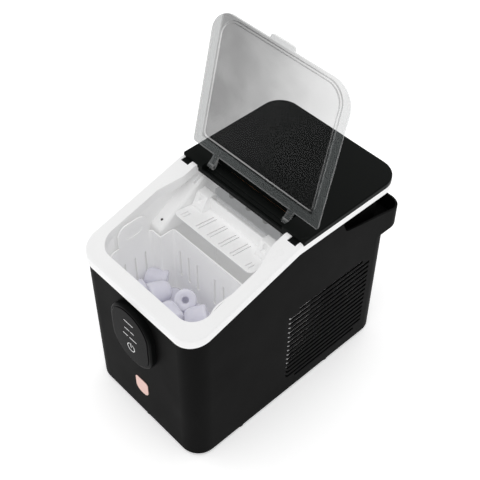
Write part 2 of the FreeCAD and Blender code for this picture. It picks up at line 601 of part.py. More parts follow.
# ---------------------------------------------------------------- lid
# The lid is drawn lying flat about its hinge axis, with -Y running down the slope, and is then
# turned about that axis to the slope and on by the opening angle.
def lid():
    seat = f"((({edge_height(HINGE_Y)} + rim_height) - {HINGE_Z})*cos(atan({FALL})) + lid_seat_gap)"
    rear = "(-lid_start)"
    front = "(-(lid_start + lid_length))"
    side = "lid_width/2"
    body = new_body("Lid")
    extrude(body, "XY", plan(side, front, rear, "lid_corner", 3), seat, f"{seat} + lid_sheet")
    inner_side = f"({side} - lid_side_border)"
    inner_front = f"({front} + lid_front_border)"
    inner_rear = f"({rear} - lid_rear_border)"
    crown = plan(inner_side, inner_front, inner_rear, "lid_corner - lid_front_border", 8)
    extrude(body, "XY", crown, seat, f"{seat} + lid_sheet + lid_crown")
    shrunk = plan(f"({inner_side} - lid_sheet)", f"({inner_front} + lid_sheet)",
                  f"({inner_rear} - lid_sheet)", "lid_corner - lid_front_border - lid_sheet",
                  "8 - lid_sheet")
    extrude(body, "XY", shrunk, f"{seat} - 1", f"{seat} + lid_crown", "Pocket")
    tab = rectangle("-(lid_tab_width/2)", f"{front} - lid_tab_reach", "lid_tab_width/2", f"{front} + 4")
    tab = [tab[0] + (5,), tab[1] + (5,), tab[2], tab[3]]
    extrude(body, "XY", tab, seat, f"{seat} + lid_sheet")
    arms = []
    for start in ("-(channel_width/2 - arm_gap)", "channel_width/2 - arm_gap - arm_width"):
        arm = prism("YZ", [(f"{rear} - 10", seat), (f"{rear} - 10", f"{seat} + lid_sheet"),
                           (rear, f"{seat} + lid_sheet"), (1, "arm_radius"), (0, "-arm_radius"),
                           (f"{rear} + 2", f"{seat} - 1.5")], start, f"{start} + arm_width")
        eye = cylinder("X", start, 0, 0, "arm_radius", "arm_width")
        arms += [arm, eye]
    bores = [cylinder("X", start, 0, 0, "pin_radius", "arm_width + 2")
             for start in ("-(channel_width/2 - arm_gap + 1)",
                           "channel_width/2 - arm_gap - arm_width - 1")]
    whole = boolean("MultiFuse", "LidWhole", body, *arms)
    panel = boolean("Cut", "LidBored", whole, *bores)
    turned_on_hinge(subpart("lid", panel, turns=True))
    inner = "(channel_width/2 - arm_gap - arm_width)"
    length = "arm_width + arm_gap + pin_reach"
    pins = [cylinder("X", inner, 0, 0, "pin_radius", length),
            cylinder("X", f"-({inner} + {length})", 0, 0, "pin_radius", length)]
    turned_on_hinge(subpart("hinge_pins", boolean("MultiFuse", "Pins", *pins), turns=True))


def turned_on_hinge(thing):
    backwards = FreeCAD.Rotation(FreeCAD.Vector(-1, 0, 0), value("lid_open_angle"))
    thing.Placement = FreeCAD.Placement(FreeCAD.Vector(), backwards)
    bind(thing, "Placement.Rotation.Angle", f"lid_open_angle*1deg - atan({FALL})")
    bind(thing, "Placement.Base.y", f"{HINGE_Y} + {SHIFT}")
    bind(thing, "Placement.Base.z", HINGE_Z)


# ---------------------------------------------------------------- liner and what hangs in it
def inner_liner():
    def shell_of(grow, low, shelf, lift):
        half = f"({OPEN_HALF} + {grow})"
        near = f"({OPEN_FRONT} - {grow})"
        far = f"({OPEN_BACK} + {grow})"
        step = f"({FRONT} + reservoir_setback + {grow})"
        from_above = prism("XY", plan(half, near, far, f"opening_corner + {grow}", f"14 + {grow}"), "0",
                           "rear_rise + 20")
        from_side = prism("YZ", [(near, low), (step, low), (step, shelf), (far, shelf),
                                 (far, f"rear_rise + {lift}"), (BEND, f"rear_rise + {lift}"),
                                 (near, f"{edge_height(near)} + {lift}")], f"-{FAR}", FAR)
        return boolean("MultiCommon", "Tub", from_above, from_side)
    outside = shell_of("liner_wall", "reservoir_rise", "shelf_rise", "0")
    inside = shell_of("0", "reservoir_rise + liner_wall", "shelf_rise + liner_wall", "1")
    shaft_hole = cylinder("X", f"-({OPEN_HALF} + liner_wall + 1)", TRAY_Y, "tray_rise",
                          "pivot_radius + 0.5",
                          "liner_wall + 2")
    drain_hole = cylinder("X", f"-({OPEN_HALF} + liner_wall + 1)", DRAIN_Y, DRAIN_Z, "drain_radius - 2",
                          "liner_wall + 2")
    pump_hole = cylinder("Y", PUMP_X, f"{FRONT} + reservoir_setback - 1", "reservoir_rise + 8", 4,
                         "liner_wall + 2")
    tub = boolean("Cut", "TubHollow", outside, inside, shaft_hole, drain_hole, pump_hole)
    ledges = []
    for start in (f"-{OPEN_HALF}", f"{OPEN_HALF} - ledge_width"):
        ledges.append(box(start, f"{OPEN_FRONT} + opening_corner", "ledge_rise - ledge_thickness",
                          "ledge_width", "60", "ledge_thickness"))
    subpart("inner_liner", boolean("MultiFuse", "Liner", tub, *ledges))


def sensors():
    tip = f"({FRONT} + sensor_tip_setback)"
    back = f"({FRONT} + sensor_back_setback)"
    wall = f"(-{OPEN_HALF})"
    top = "(sensor_low + sensor_tip_height)"
    wedge = prism("YZ", [(tip, "sensor_low", 4), (back, "sensor_low"),
                         (back, "sensor_low + sensor_slope_rise"), (tip, top, 6)],
                  wall, f"{wall} + sensor_width", "SensorHousing")
    inner_edge = value(f"{wall} + sensor_width")
    fillet(wedge, 5, lambda edge: abs(edge.BoundBox.XMin - inner_edge) < 0.01
           and abs(edge.BoundBox.XMax - inner_edge) < 0.01 and edge.BoundBox.YMax < value(back) + 0.01
           and edge.BoundBox.YMin < value(back) - 0.01)
    slope = "(sensor_slope_rise - sensor_tip_height)/(sensor_back_setback - sensor_tip_setback)"
    lens_x = f"({wall} + 10)"
    lens_y = f"({tip} + 12)"
    lens_z = f"({top} + 12*{slope})"
    hole = cylinder("Z", lens_x, lens_y, f"{lens_z} - 3", 2, 10)
    cheek_slot = box("-(cheek_spacing/2 + cheek_thickness + tab_gap)", f"{SHOVEL_Y} - 8 - tab_gap",
                     "sensor_low - 1",
                     "cheek_thickness + 2*tab_gap", 40, "sensor_slope_rise + 5")
    shaft_way = cylinder("X", "-(cheek_spacing/2 + 1)", SHOVEL_Y, "tray_rise", "shovel_shaft + 1", 10)
    subpart("sensor_housing", boolean("Cut", "SensorBored", wedge, hole, cheek_slot, shaft_way))
    subpart("ice_sensor_emitter", cylinder("Z", lens_x, lens_y, f"{lens_z} - 3", 1.95, 2.4, "Emitter"))
    subpart("ice_sensor_receiver", cylinder("X", f"{OPEN_HALF} - 1.5", lens_y, lens_z, 3, 1.5,
                                            "Receiver"))


# ---------------------------------------------------------------- ice basket
BASKET_HALF = f"({OPEN_HALF} - basket_gap)"
BASKET_FRONT = f"({OPEN_FRONT} + basket_front_gap)"
BASKET_BACK = f"({FRONT} + basket_setback)"
BASKET_TOP = "(ledge_rise + tab_gap + basket_height)"


def basket_plan(inset):
    half = f"({BASKET_HALF} - {inset})"
    near = f"({BASKET_FRONT} + {inset})"
    far = f"({BASKET_BACK} - {inset})"
    side = f"(-{BASKET_HALF} + notch_width + {inset})"
    step = f"({BASKET_BACK} - notch_length - {inset})"
    corner = f"(basket_corner - {inset})"
    return [(f"-{half}", near, corner), (half, near, corner), (half, far, f"6 - {inset}"),
            (side, far, f"6 - {inset}"), (side, step), (f"-{half}", step, f"6 - {inset}")]


def keyhole(across):
    """A narrow slot with a round bulb at its foot, as a list of shapes."""
    top = f"({BASKET_TOP} - slot_drop)"
    foot = f"({top} - slot_length)"
    stem = rectangle(f"{across} - slot_width/2", foot, f"{across} + slot_width/2", top)
    return [stem, ((across, foot), "slot_bulb")]


def ice_basket():
    body = new_body("Basket")
    low = "(ledge_rise + tab_gap)"
    extrude(body, "XY", basket_plan("0"), low, BASKET_TOP)
    extrude(body, "XY", basket_plan("basket_wall"), f"{low} + basket_wall", BASKET_TOP, "Pocket")
    for step in (-3, -2, -1, 1, 2, 3):
        for shape in keyhole(f"(slot_offset + {step}*slot_pitch)"):
            extrude(body, "XZ", shape, f"{BASKET_BACK} - basket_wall - 0.5", f"{BASKET_BACK} + 0.5",
                    "Pocket")
            extrude(body, "XZ", shape, f"{BASKET_FRONT} - 0.5", f"{BASKET_FRONT} + basket_wall + 0.5",
                    "Pocket")
    for step in (-1, 0, 1):
        for shape in keyhole(f"({BASKET_FRONT} + 49.5 + {step}*slot_pitch)"):
            extrude(body, "YZ", shape, f"-{BASKET_HALF} - 0.5", f"-{BASKET_HALF} + basket_wall + 0.5",
                    "Pocket")
            extrude(body, "YZ", shape, f"{BASKET_HALF} - basket_wall - 0.5", f"{BASKET_HALF} + 0.5",
                    "Pocket")
    drip = extrude(body, "XY", rectangle("-66", f"{BASKET_FRONT} + 20", "-62", f"{BASKET_BACK} - 32"),
                   f"{low} - 0.5", f"{low} + basket_wall + 0.5", "Pocket")
    repeat(body, drip, "X_Axis", "128", "9")
    tab_from = f"({FRONT} + basket_tab_setback - basket_tab_width/2)"
    tab_to = f"({tab_from} + basket_tab_width)"
    tab = [(tab_from, f"{BASKET_TOP} - 4"), (tab_to, f"{BASKET_TOP} - 4"),
           (tab_to, f"{BASKET_TOP} + basket_tab_height", 17),
           (tab_from, f"{BASKET_TOP} + basket_tab_height", 17)]
    middle = f"({FRONT} + basket_tab_setback)"
    recess = rectangle(f"{middle} - 14", f"{BASKET_TOP} + 8", f"{middle} + 14", f"{BASKET_TOP} + 24",
                       7.9)
    wall = "basket_wall"
    extrude(body, "YZ", tab, f"-{BASKET_HALF}", f"-{BASKET_HALF} + {wall}")
    extrude(body, "YZ", tab, f"{BASKET_HALF} - {wall}", BASKET_HALF)
    extrude(body, "YZ", recess, f"-{BASKET_HALF} + {wall} - 1", f"-{BASKET_HALF} + {wall} + 1",
            "Pocket")
    extrude(body, "YZ", recess, f"{BASKET_HALF} - {wall} - 1", f"{BASKET_HALF} - {wall} + 1", "Pocket")
    subpart("ice_basket", body)


# ---------------------------------------------------------------- ice module
def cheeks():
    """The two side plates that carry the tray, the shovel and the evaporator."""
    low = "(tray_rise - tray_bore - tray_wall - 5)"
    far = f"({OPEN_BACK} - 4)"
    for label, start in (("left_cheek", "-(cheek_spacing/2 + cheek_thickness)"),
                         ("right_cheek", "cheek_spacing/2")):
        plate = new_body("Cheek")
        extrude(plate, "YZ", [(f"{SHOVEL_Y} - 8", "tray_rise - 10", 4), (f"{TRAY_Y} - 30", low, 4),
                              (far, low),
                              (far, f"{PLATE_Z} + plate_thickness"),
                              (f"{TRAY_Y} - 22", f"{PLATE_Z} + plate_thickness", 3),
                              (f"{SHOVEL_Y} - 8", "tray_rise + 10", 4)], start,
                              f"{start} + cheek_thickness")
        extrude(plate, "YZ", ((TRAY_Y, "tray_rise"), "pivot_radius + pivot_clearance"),
                start, f"{start} + cheek_thickness", "Pocket")
        extrude(plate, "YZ", ((SHOVEL_Y, "tray_rise"), "shovel_shaft + pivot_clearance"),
                start, f"{start} + cheek_thickness", "Pocket")
        subpart(label, plate)


def water_tray():
    half = "tray_length/2"
    outer = "(tray_bore + tray_wall)"
    drum = cylinder("X", f"-({half})", TRAY_Y, "tray_rise", outer, "tray_length")
    room = cylinder("X", f"-({half} - tray_wall)", TRAY_Y, "tray_rise", "tray_bore",
                    "tray_length - 2*tray_wall")
    mouth = box(f"-({half} - tray_wall)", f"{TRAY_Y} - {outer} - 1", "tray_rise - tray_brim",
                "tray_length - 2*tray_wall", f"2*{outer} + 2", f"2*{outer}")
    over = box(f"-({half} + 1)", f"{TRAY_Y} - {outer} - 1", "tray_rise + tray_ear",
               "tray_length + 2", f"2*{outer} + 2", f"2*{outer}")
    stub = cylinder("X", f"{half} - tray_wall", TRAY_Y, "tray_rise", "pivot_radius",
                    f"cheek_spacing/2 + cheek_thickness - ({half} - tray_wall)")
    left = f"({half} - tray_wall)"
    drive_end = f"({OPEN_HALF} + liner_wall)"
    drive = cylinder("X", f"-({drive_end} + 4)", TRAY_Y, "tray_rise", "pivot_radius",
                     f"{drive_end} + 4 - {left}")
    trough = boolean("Cut", "Trough", drum, room, mouth, over)
    pin_seat = cylinder("X", f"-({half} + 1)", TRAY_Y, "tray_rise", "pivot_radius", "tray_length + 2")
    subpart("water_tray", boolean("Cut", "TrayBored", trough, pin_seat))
    subpart("tray_drive_shaft", drive)
    subpart("tray_pivot", stub)


def ice_shovel():
    """A slotted plate that falls towards the tray and ends in an upright wall."""
    front = f"({SHOVEL_Y} - shovel_length)"
    wall_back = f"({SHOVEL_Y} - shovel_shaft - 1)"
    back_z = "(tray_rise - shovel_drop)"
    fall = "tan(shovel_slope*1deg)"
    front_z = f"({back_z} + (shovel_length - shovel_shaft - 1)*{fall})"
    half = "shovel_width/2"
    from_side = prism("YZ", [(front, f"{front_z} - shovel_sheet"),
                             (wall_back, f"{back_z} - shovel_sheet"),
                             (wall_back, f"{back_z} + shovel_wall_height"),
                             (f"{wall_back} - shovel_sheet", f"{back_z} + shovel_wall_height"),
                             (f"{wall_back} - shovel_sheet", back_z), (front, front_z)],
                      f"-({half})", half)
    from_above = prism("XY", plan(half, front, f"{wall_back} + 1", 8, 1), "200", "rear_rise")
    sheet_only = boolean("MultiCommon", "ShovelSheet", from_side, from_above)
    slots = new_body("ShovelSlots")
    for pair in (-1.5, -0.5, 0.5, 1.5):
        for side in (-2.7, 2.7):
            middle = f"(22*{pair} + {side})"
            extrude(slots, "XY", rectangle(f"{middle} - 0.8", f"{front} + 6", f"{middle} + 0.8",
                                           f"{front} + 38"), "200", "300")
    for end in (-1, 1):
        for side in (-2.7, 2.7):
            middle = f"({end}*(shovel_width/2 - 12) + {side})"
            extrude(slots, "XY", rectangle(f"{middle} - 0.8", f"{front} + 6", f"{middle} + 0.8",
                                           f"{front} + 17"), "200", "300")
    subpart("ice_shovel", boolean("Cut", "Shovel", sheet_only, slots))
    reach = "(cheek_spacing/2 + cheek_thickness)"
    subpart("shovel_shaft", cylinder("X", f"-{reach}", SHOVEL_Y, "tray_rise", "shovel_shaft",
                                     f"2*{reach}", "ShovelShaft"))
    hooks = []
    for side in (-1, 1):
        start = f"({side}*clip_spacing/2 - clip_width/2)"
        profile = [(f"{wall_back} - 17", f"{back_z} + 17*{fall}"),
                   (f"{wall_back} - shovel_sheet", f"{back_z} + 2.6*{fall}"),
                   (f"{wall_back} - shovel_sheet", f"{back_z} + shovel_wall_height"),
                   (wall_back, f"{back_z} + shovel_wall_height"),
                   (wall_back, f"{back_z} - shovel_sheet"),
                   (f"{SHOVEL_Y} + shovel_shaft + 2", f"{back_z} - shovel_sheet", 2),
                   (f"{SHOVEL_Y} + shovel_shaft + 2", f"{back_z} + shovel_wall_height + 3", 4),
                   (f"{wall_back} - 7", f"{back_z} + shovel_wall_height + 3", 3),
                   (f"{wall_back} - 17", f"{back_z} + 6")]
        hook = prism("YZ", profile, start, f"{start} + clip_width")
        notch = box(f"{start} + 0.3*clip_width", f"{wall_back} - 30", f"{back_z} + 11",
                    "0.4*clip_width", "23", "30")
        hooks.append(boolean("Cut", "Hook", hook, notch))
    rod = cylinder("X", f"-{reach}", SHOVEL_Y, "tray_rise", "shovel_shaft", f"2*{reach}")
    subpart("shovel_clips", boolean("Cut", "Clips", boolean("MultiFuse", "ClipPair", *hooks), rod))


def evaporator():
    inner = "(cheek_spacing/2)"
    near = f"({TRAY_Y} - plate_width/2)"
    subpart("evaporator_plate", box(f"-{inner}", near, PLATE_Z, f"2*{inner}", "plate_width",
                                    "plate_thickness", "EvaporatorPlate"))
    rods = []
    for column in (-1.5, -0.5, 0.5, 1.5):
        for line in (-0.5, 0.5):
            x = f"{column}*finger_pitch"
            y = f"{TRAY_Y} + {line}*finger_rows"
            rods.append(cylinder("Z", x, y, f"{PLATE_Z} - finger_length", "finger_radius",
                                 "finger_length"))
    subpart("evaporator_fingers", boolean("MultiFuse", "Fingers", *rods))
    level = f"({PLATE_Z} + plate_thickness + tube_radius)"
    out = f"({OPEN_BACK} + 14)"
    near_row, far_row = f"({TRAY_Y} - finger_rows/2)", f"({TRAY_Y} + finger_rows/2)"
    route = [(-52, out, level), (-52, near_row, level), (62, near_row, level), (62, far_row, level),
             (-34, far_row, level), (-34, out, level)]
    subpart("evaporator_tube", tube("EvaporatorTube", route, "tube_radius", "8"))


def tray_motor():
    start = f"(-({OPEN_HALF} + liner_wall + motor_depth))"
    can = cylinder("X", start, TRAY_Y, "tray_rise", "motor_radius", "motor_depth")
    hole = cylinder("X", f"{start} + motor_depth - 4.5", TRAY_Y, "tray_rise",
                    "pivot_radius + pivot_clearance", 6)
    subpart("tray_gear_motor", boolean("Cut", "GearMotor", can, hole))


# ---------------------------------------------------------------- machine bay
COMPRESSOR_Y = f"({FRONT} + compressor_setback)"
CONDENSER_X = "(body_width/2 - wall - 3)"
CONDENSER_Y = f"({FRONT} + condenser_setback)"
FAN_X = f"({CONDENSER_X} - condenser_depth - shroud_depth)"
FAN_Z = "(vent_low - 15 + condenser_height/2)"
PUMP_X, PUMP_Y = "(body_width/2 - 72)", f"({FRONT} + reservoir_setback + 20)"


def compressor():
    low = f"({BASE_TOP} + bracket_rise)"
    body = new_body("Compressor")
    extrude(body, "XY", (("compressor_x", COMPRESSOR_Y), "compressor_radius"), low,
            f"{low} + compressor_height")
    crown = value(f"{low} + compressor_height")
    fillet(body, "compressor_radius*0.45", lambda edge: edge.BoundBox.ZMin > crown - 0.01)
    fillet(body, "compressor_radius*0.2", lambda edge: edge.BoundBox.ZMax < value(low) + 0.01)
    subpart("compressor", body)
    reach = "(compressor_radius + 6)"
    holes = [(f"compressor_x + {side}*({reach} - 8)",
              f"{COMPRESSOR_Y} + {end}*({reach} - 8)") for side in (-1, 1) for end in (-1, 1)]
    foot = new_body("Bracket")
    extrude(foot, "XY", rectangle(f"compressor_x - {reach}", f"{COMPRESSOR_Y} - {reach}",
                                  f"compressor_x + {reach}",
                                  f"{COMPRESSOR_Y} + {reach}", 10), f"{low} - bracket_sheet", low)
    for x, y in holes:
        extrude(foot, "XY", ((x, y), 3.5), f"{low} - bracket_sheet", low, "Pocket")
    subpart("compressor_bracket", foot)
    grommets = []
    for x, y in holes:
        grommets.append(cylinder("Z", x, y, BASE_TOP, 7, "bracket_rise - bracket_sheet"))
        grommets.append(cylinder("Z", x, y, BASE_TOP, 3.5, "bracket_rise + 1"))
    subpart("compressor_grommets", boolean("MultiFuse", "Grommets", *grommets))
    crown = f"({low} + compressor_height)"
    level = f"({PLATE_Z} + plate_thickness + tube_radius)"
    out = f"({OPEN_BACK} + 14)"
    suction = [(-34, out, level), (-34, f"{out} + 16", level), (-34, f"{out} + 16", crown)]
    subpart("suction_line", tube("SuctionLine", suction, "tube_radius", "9"))
    feed_x = f"({CONDENSER_X} - condenser_depth/2)"
    feed_z = f"({FAN_Z} + condenser_height/2)"
    liquid = [(-52, out, level), (-52, f"{out} + 30", level), (-52, f"{out} + 30", "grip_base - 12"),
              (feed_x, f"{out} + 30", "grip_base - 12"), (feed_x, f"{out} + 30", feed_z)]
    subpart("liquid_line", tube("LiquidLine", liquid, "tube_radius", "9"))


def condenser():
    start = f"({CONDENSER_X} - condenser_depth)"
    low = f"({FAN_Z} - condenser_height/2)"
    near = f"({CONDENSER_Y} - condenser_length/2)"
    body = new_body("Condenser")
    fin = extrude(body, "XZ", rectangle(start, low, CONDENSER_X, f"{low} + condenser_height"), near,
                  f"{near} + fin_sheet")
    repeat(body, fin, "Y_Axis", "condenser_length - fin_sheet",
           "floor((condenser_length - fin_sheet)/fin_pitch) + 1")
    for line in (1, 3, 5, 7):
        for column in (0.28, 0.72):
            centre = (f"{start} + {column}*condenser_depth", f"{low} + {line}*condenser_height/8")
            extrude(body, "XZ", (centre, "tube_radius + 0.6"), f"{near} - 5",
                    f"{near} + condenser_length + 5")
    subpart("condenser", body)


def fan():
    near = f"({CONDENSER_Y} - condenser_length/2)"
    low = f"({FAN_Z} - condenser_height/2)"
    shroud = new_body("Shroud")
    extrude(shroud, "YZ", rectangle(f"{near} - 4", low, f"{near} + condenser_length + 4",
                                    f"{low} + condenser_height", 6),
            FAN_X, f"{FAN_X} + shroud_depth")
    extrude(shroud, "YZ", ((CONDENSER_Y, FAN_Z), "fan_radius + fan_gap"), FAN_X,
            f"{FAN_X} + shroud_depth", "Pocket")
    spider = []
    for side in (-1, 1):
        spider.append(box(f"{FAN_X}", f"{CONDENSER_Y} - 2.5",
                          f"{FAN_Z} + {side}*(fan_radius + fan_motor_radius)/2 - (fan_radius + 5 - fan_motor_radius)/2",
                          "3", "5", "fan_radius + 5 - fan_motor_radius"))
    plate = cylinder("X", FAN_X, CONDENSER_Y, FAN_Z, "fan_motor_radius + 1", 3)
    bore = cylinder("X", f"{FAN_X} - 9", CONDENSER_Y, FAN_Z, "fan_shaft_radius + pin_clearance", 14)
    whole = boolean("MultiFuse", "ShroudWhole", shroud, plate, *spider)
    subpart("fan_shroud", boolean("Cut", "ShroudBored", whole, bore))
    can = cylinder("X", f"{FAN_X} - fan_motor_length", CONDENSER_Y, FAN_Z, "fan_motor_radius",
                   "fan_motor_length")
    well = cylinder("X", f"{FAN_X} - 9", CONDENSER_Y, FAN_Z, "fan_shaft_radius + pin_clearance", 14)
    subpart("fan_motor", boolean("Cut", "FanMotor", can, well))
    hub = cylinder("X", f"{FAN_X} + 4", CONDENSER_Y, FAN_Z, "hub_radius", "shroud_depth - 6")
    spindle = cylinder("X", f"{FAN_X} - 8", CONDENSER_Y, FAN_Z, "fan_shaft_radius", 14)
    blades = []
    for turn in range(5):
        blade = doc.addObject("Part::Box", "Blade")
        bind(blade, "Length", 1.6)
        bind(blade, "Width", 24)
        bind(blade, "Height", "fan_radius - hub_radius + 4")
        pitch = FreeCAD.Rotation(FreeCAD.Vector(0, 0, 1), 62)
        spoke = FreeCAD.Rotation(FreeCAD.Vector(1, 0, 0), 72 * turn)
        root = FreeCAD.Vector(0, 0, value("hub_radius - 4"))
        corner = FreeCAD.Vector(-0.8, -12, 0)
        middle = FreeCAD.Vector(value(f"{FAN_X} + shroud_depth/2 + 1"), value(CONDENSER_Y),
                                value(FAN_Z))
        blade.Placement = FreeCAD.Placement(middle, spoke) * FreeCAD.Placement(root,
                                                                               pitch) * FreeCAD.Placement(corner, FreeCAD.Rotation())
        blades.append(blade)
    round_tip = cylinder("X", f"{FAN_X} + 3.5", CONDENSER_Y, FAN_Z, "fan_radius", "shroud_depth - 4.5")
    whirl = boolean("MultiFuse", "Blades", *blades)
    trimmed = boolean("MultiCommon", "BladesTrimmed", whirl, round_tip)
    subpart("fan_rotor", boolean("MultiFuse", "Rotor", hub, spindle, trimmed))


def water_system():
    pump = cylinder("Z", PUMP_X, PUMP_Y, BASE_TOP, "pump_radius", "pump_height")
    step = f"({FRONT} + reservoir_setback - 2)"
    inlet = cylinder("Y", PUMP_X, step, "reservoir_rise + 8", 4, f"{PUMP_Y} - {step}")
    spout = cylinder("Z", PUMP_X, f"{PUMP_Y} + 6", f"{BASE_TOP} + pump_height - 1", "hose_radius", 8)
    subpart("water_pump", boolean("MultiFuse", "Pump", pump, inlet, spout))
    level = "(rear_rise + hose_radius + 0.6)"
    riser_y = f"({OPEN_BACK} + 9)"
    route = [(PUMP_X, f"{PUMP_Y} + 6", f"{BASE_TOP} + pump_height + 7"), (PUMP_X, f"{PUMP_Y} + 6", 84),
             (PUMP_X, riser_y, 118), (PUMP_X, riser_y, level), (PUMP_X, f"{OPEN_BACK} - 6", level),
             (PUMP_X, f"{OPEN_BACK} - 6", "tray_rise + tray_bore - 2")]
    subpart("water_hose", tube("WaterHose", route, "hose_radius", "5.5"))
    floor_z = "(reservoir_rise + liner_wall)"
    float_x, float_y = "60", f"({FRONT} + reservoir_setback - 24)"
    stem = cylinder("Z", float_x, float_y, floor_z, "stem_radius", 66)
    stop = cylinder("Z", float_x, float_y, f"{floor_z} + 62", "stem_radius + 2.5", 4)
    subpart("float_stem", boolean("MultiFuse", "FloatStem", stem, stop))
    block = cylinder("Z", float_x, float_y, f"{floor_z} + tab_gap", "float_radius", "float_height")
    bore = cylinder("Z", float_x, float_y, floor_z, "stem_radius + float_clearance", "float_height + 2")
    subpart("level_float", boolean("Cut", "Float", block, bore))
    length = f"({HALF} - {OPEN_HALF} - liner_wall)"
    pipe = cylinder("X", f"-{HALF}", DRAIN_Y, DRAIN_Z, "drain_radius", length)
    bore = cylinder("X", f"-({HALF} + 1)", DRAIN_Y, DRAIN_Z, "drain_radius - 2", f"{length} + 2")
    subpart("drain_spout", boolean("Cut", "Spout", pipe, bore))
    cap = cylinder("X", f"-({HALF} + 2)", DRAIN_Y, DRAIN_Z, "drain_plug_radius", 2)
    grip = box(f"-({HALF} + 3.4)", f"{DRAIN_Y} - 1.5", f"{DRAIN_Z} - 8", 2, 3, 16)
    stopper = cylinder("X", f"-({HALF} + 1)", DRAIN_Y, DRAIN_Z, "drain_radius - 2 - pin_clearance", 11)
    subpart("drain_plug", boolean("MultiFuse", "Plug", cap, grip, stopper))


def electrics():
    low, high = "(pod_rise - 34)", "(pod_rise + 34)"
    subpart("display_board", box(-26, f"{FRONT} + wall + 5", low, 52, "board_sheet", f"{high} - {low}",
                                 "DisplayBoard"))
    start = "(-(body_width/2 - grip_inset - wall - 6))"
    sheet_board = box(start, f"{OPEN_BACK} + 20", "grip_base + 4", "board_sheet", 76, 64)
    lumps = [box(f"{start} + board_sheet", f"{OPEN_BACK} + {y}", f"grip_base + {z}", depth, width,
                 height)
             for y, z, depth, width, height in ((26, 10, 16, 22, 26), (54, 10, 12, 16, 16),
                                                (76, 12, 9, 12, 30), (40, 42, 11, 26, 14))]
    subpart("main_board", boolean("MultiFuse", "MainBoard", sheet_board, *lumps))
    collar = cylinder("Y", GLAND_X, BACK, GLAND_Z, "gland_radius", 3)
    neck = cylinder("Y", GLAND_X, f"{BACK} - wall - 3", GLAND_Z, "gland_radius - 2",
                    "gland_reach + wall + 3")
    bore = cylinder("Y", GLAND_X, f"{BACK} - wall - 4", GLAND_Z, 3.4, "gland_reach + wall + 6")
    subpart("cord_gland", boolean("Cut", "Gland", boolean("MultiFuse", "GlandBlank", collar, neck),
                                  bore))


# ---------------------------------------------------------------- front furniture
def pod_outline(inset):
    half, up = f"(pod_width/2 - ({inset}))", f"(pod_height/2 - ({inset}))"
    return rectangle(f"-{half}", f"pod_rise - {up}", half, f"pod_rise + {up}", f"{half} - 1.5")


def control_pod():
    face = f"({FRONT} - pod_depth)"
    body = new_body("Pod")
    seat = f"({face} + panel_depth)"
    extrude(body, "XZ", pod_outline("0"), f"{face} + 1", FRONT)
    fillet(body, "pod_rounding", lambda edge: edge.BoundBox.YMax < value(f"{face} + 1") + 0.01)
    extrude(body, "XZ", pod_outline("panel_inset - tab_gap"), f"{face} - 1", seat, "Pocket")
    subpart("control_pod", body)
    panel = new_body("Panel")
    extrude(panel, "XZ", pod_outline("panel_inset"), face, seat)
    fillet(panel, 0.8, lambda edge: edge.BoundBox.YMax < value(face) + 0.01)
    subpart("touch_panel", panel)
    marks = []
    near = f"({face} - icon_height)"
    for rise, spans in ((29, [(-9, 9)]), (13.5, [(-9.5, 0.5), (2.5, 9.5)]),
                        (-0.5, [(-14, -4), (-1, 13.5)])):
        for left, right in spans:
            marks.append(box(left, near, f"pod_rise + {rise} - 0.6", right - left, "icon_height", 1.2))
    loop = new_body("PowerMark")
    centre = (0, "pod_rise - 21")
    extrude(loop, "XZ", (centre, "7.6"), near, face)
    extrude(loop, "XZ", (centre, "6.4"), f"{near} - 1", f"{face} + 1", "Pocket")
    extrude(loop, "XZ", rectangle("-2.6", "pod_rise - 17", "2.6", "pod_rise - 10"), f"{near} - 1",
            f"{face} + 1", "Pocket")
    marks.append(loop)
    marks.append(box(-0.6, near, "pod_rise - 21", 1.2, "icon_height", 8.4))
    subpart("panel_icons", boolean("MultiFuse", "Icons", *marks))
    badge = new_body("Badge")
    low, high = "badge_rise - badge_height/2", "badge_rise + badge_height/2"
    extrude(badge, "XZ", [("-badge_width/2", low, 11), ("badge_width/2", low, 11),
                          ("badge_width/2", high, 5),
                          ("-badge_width/2", high, 5)], f"{FRONT} - badge_thickness", FRONT)
    fillet(badge, 0.4, lambda edge: edge.BoundBox.YMax < value(f"{FRONT} - badge_thickness") + 0.01)
    subpart("badge_plate", badge)


# ---------------------------------------------------------------- build, check and write
for build in (housing, base, top_frame, top_cover, hinge_rail, lid, inner_liner, sensors,
              ice_basket, cheeks, water_tray, ice_shovel, evaporator, tray_motor, compressor,
              condenser, fan, water_system, electrics, control_pod):
    build()
doc.recompute()

faults = []
for item in doc.Objects:
    if "Invalid" in item.State or "Error" in item.State:
        faults.append(f"{item.Label}: {item.State}")
    if item.TypeId == "PartDesign::Pocket" and not item.Shape.isNull():
        base_feature = item.BaseFeature
        if base_feature is not None and item.Shape.Volume > base_feature.Shape.Volume - 1e-6:
            faults.append(f"{item.Label} of {item.getParentGeoFeatureGroup().Label} cuts nothing")
for item in SUBPARTS:
    if item.Shape.isNull() or not item.Shape.isValid():
        faults.append(f"{item.Label}: bad shape")
if faults:
    raise RuntimeError("; ".join(faults))
for item in SUBPARTS:
    item.Shape.exportStep(f"parts/{item.Label}.step")
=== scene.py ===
import bmesh
import bpy
import math
from mathutils import Matrix, Vector


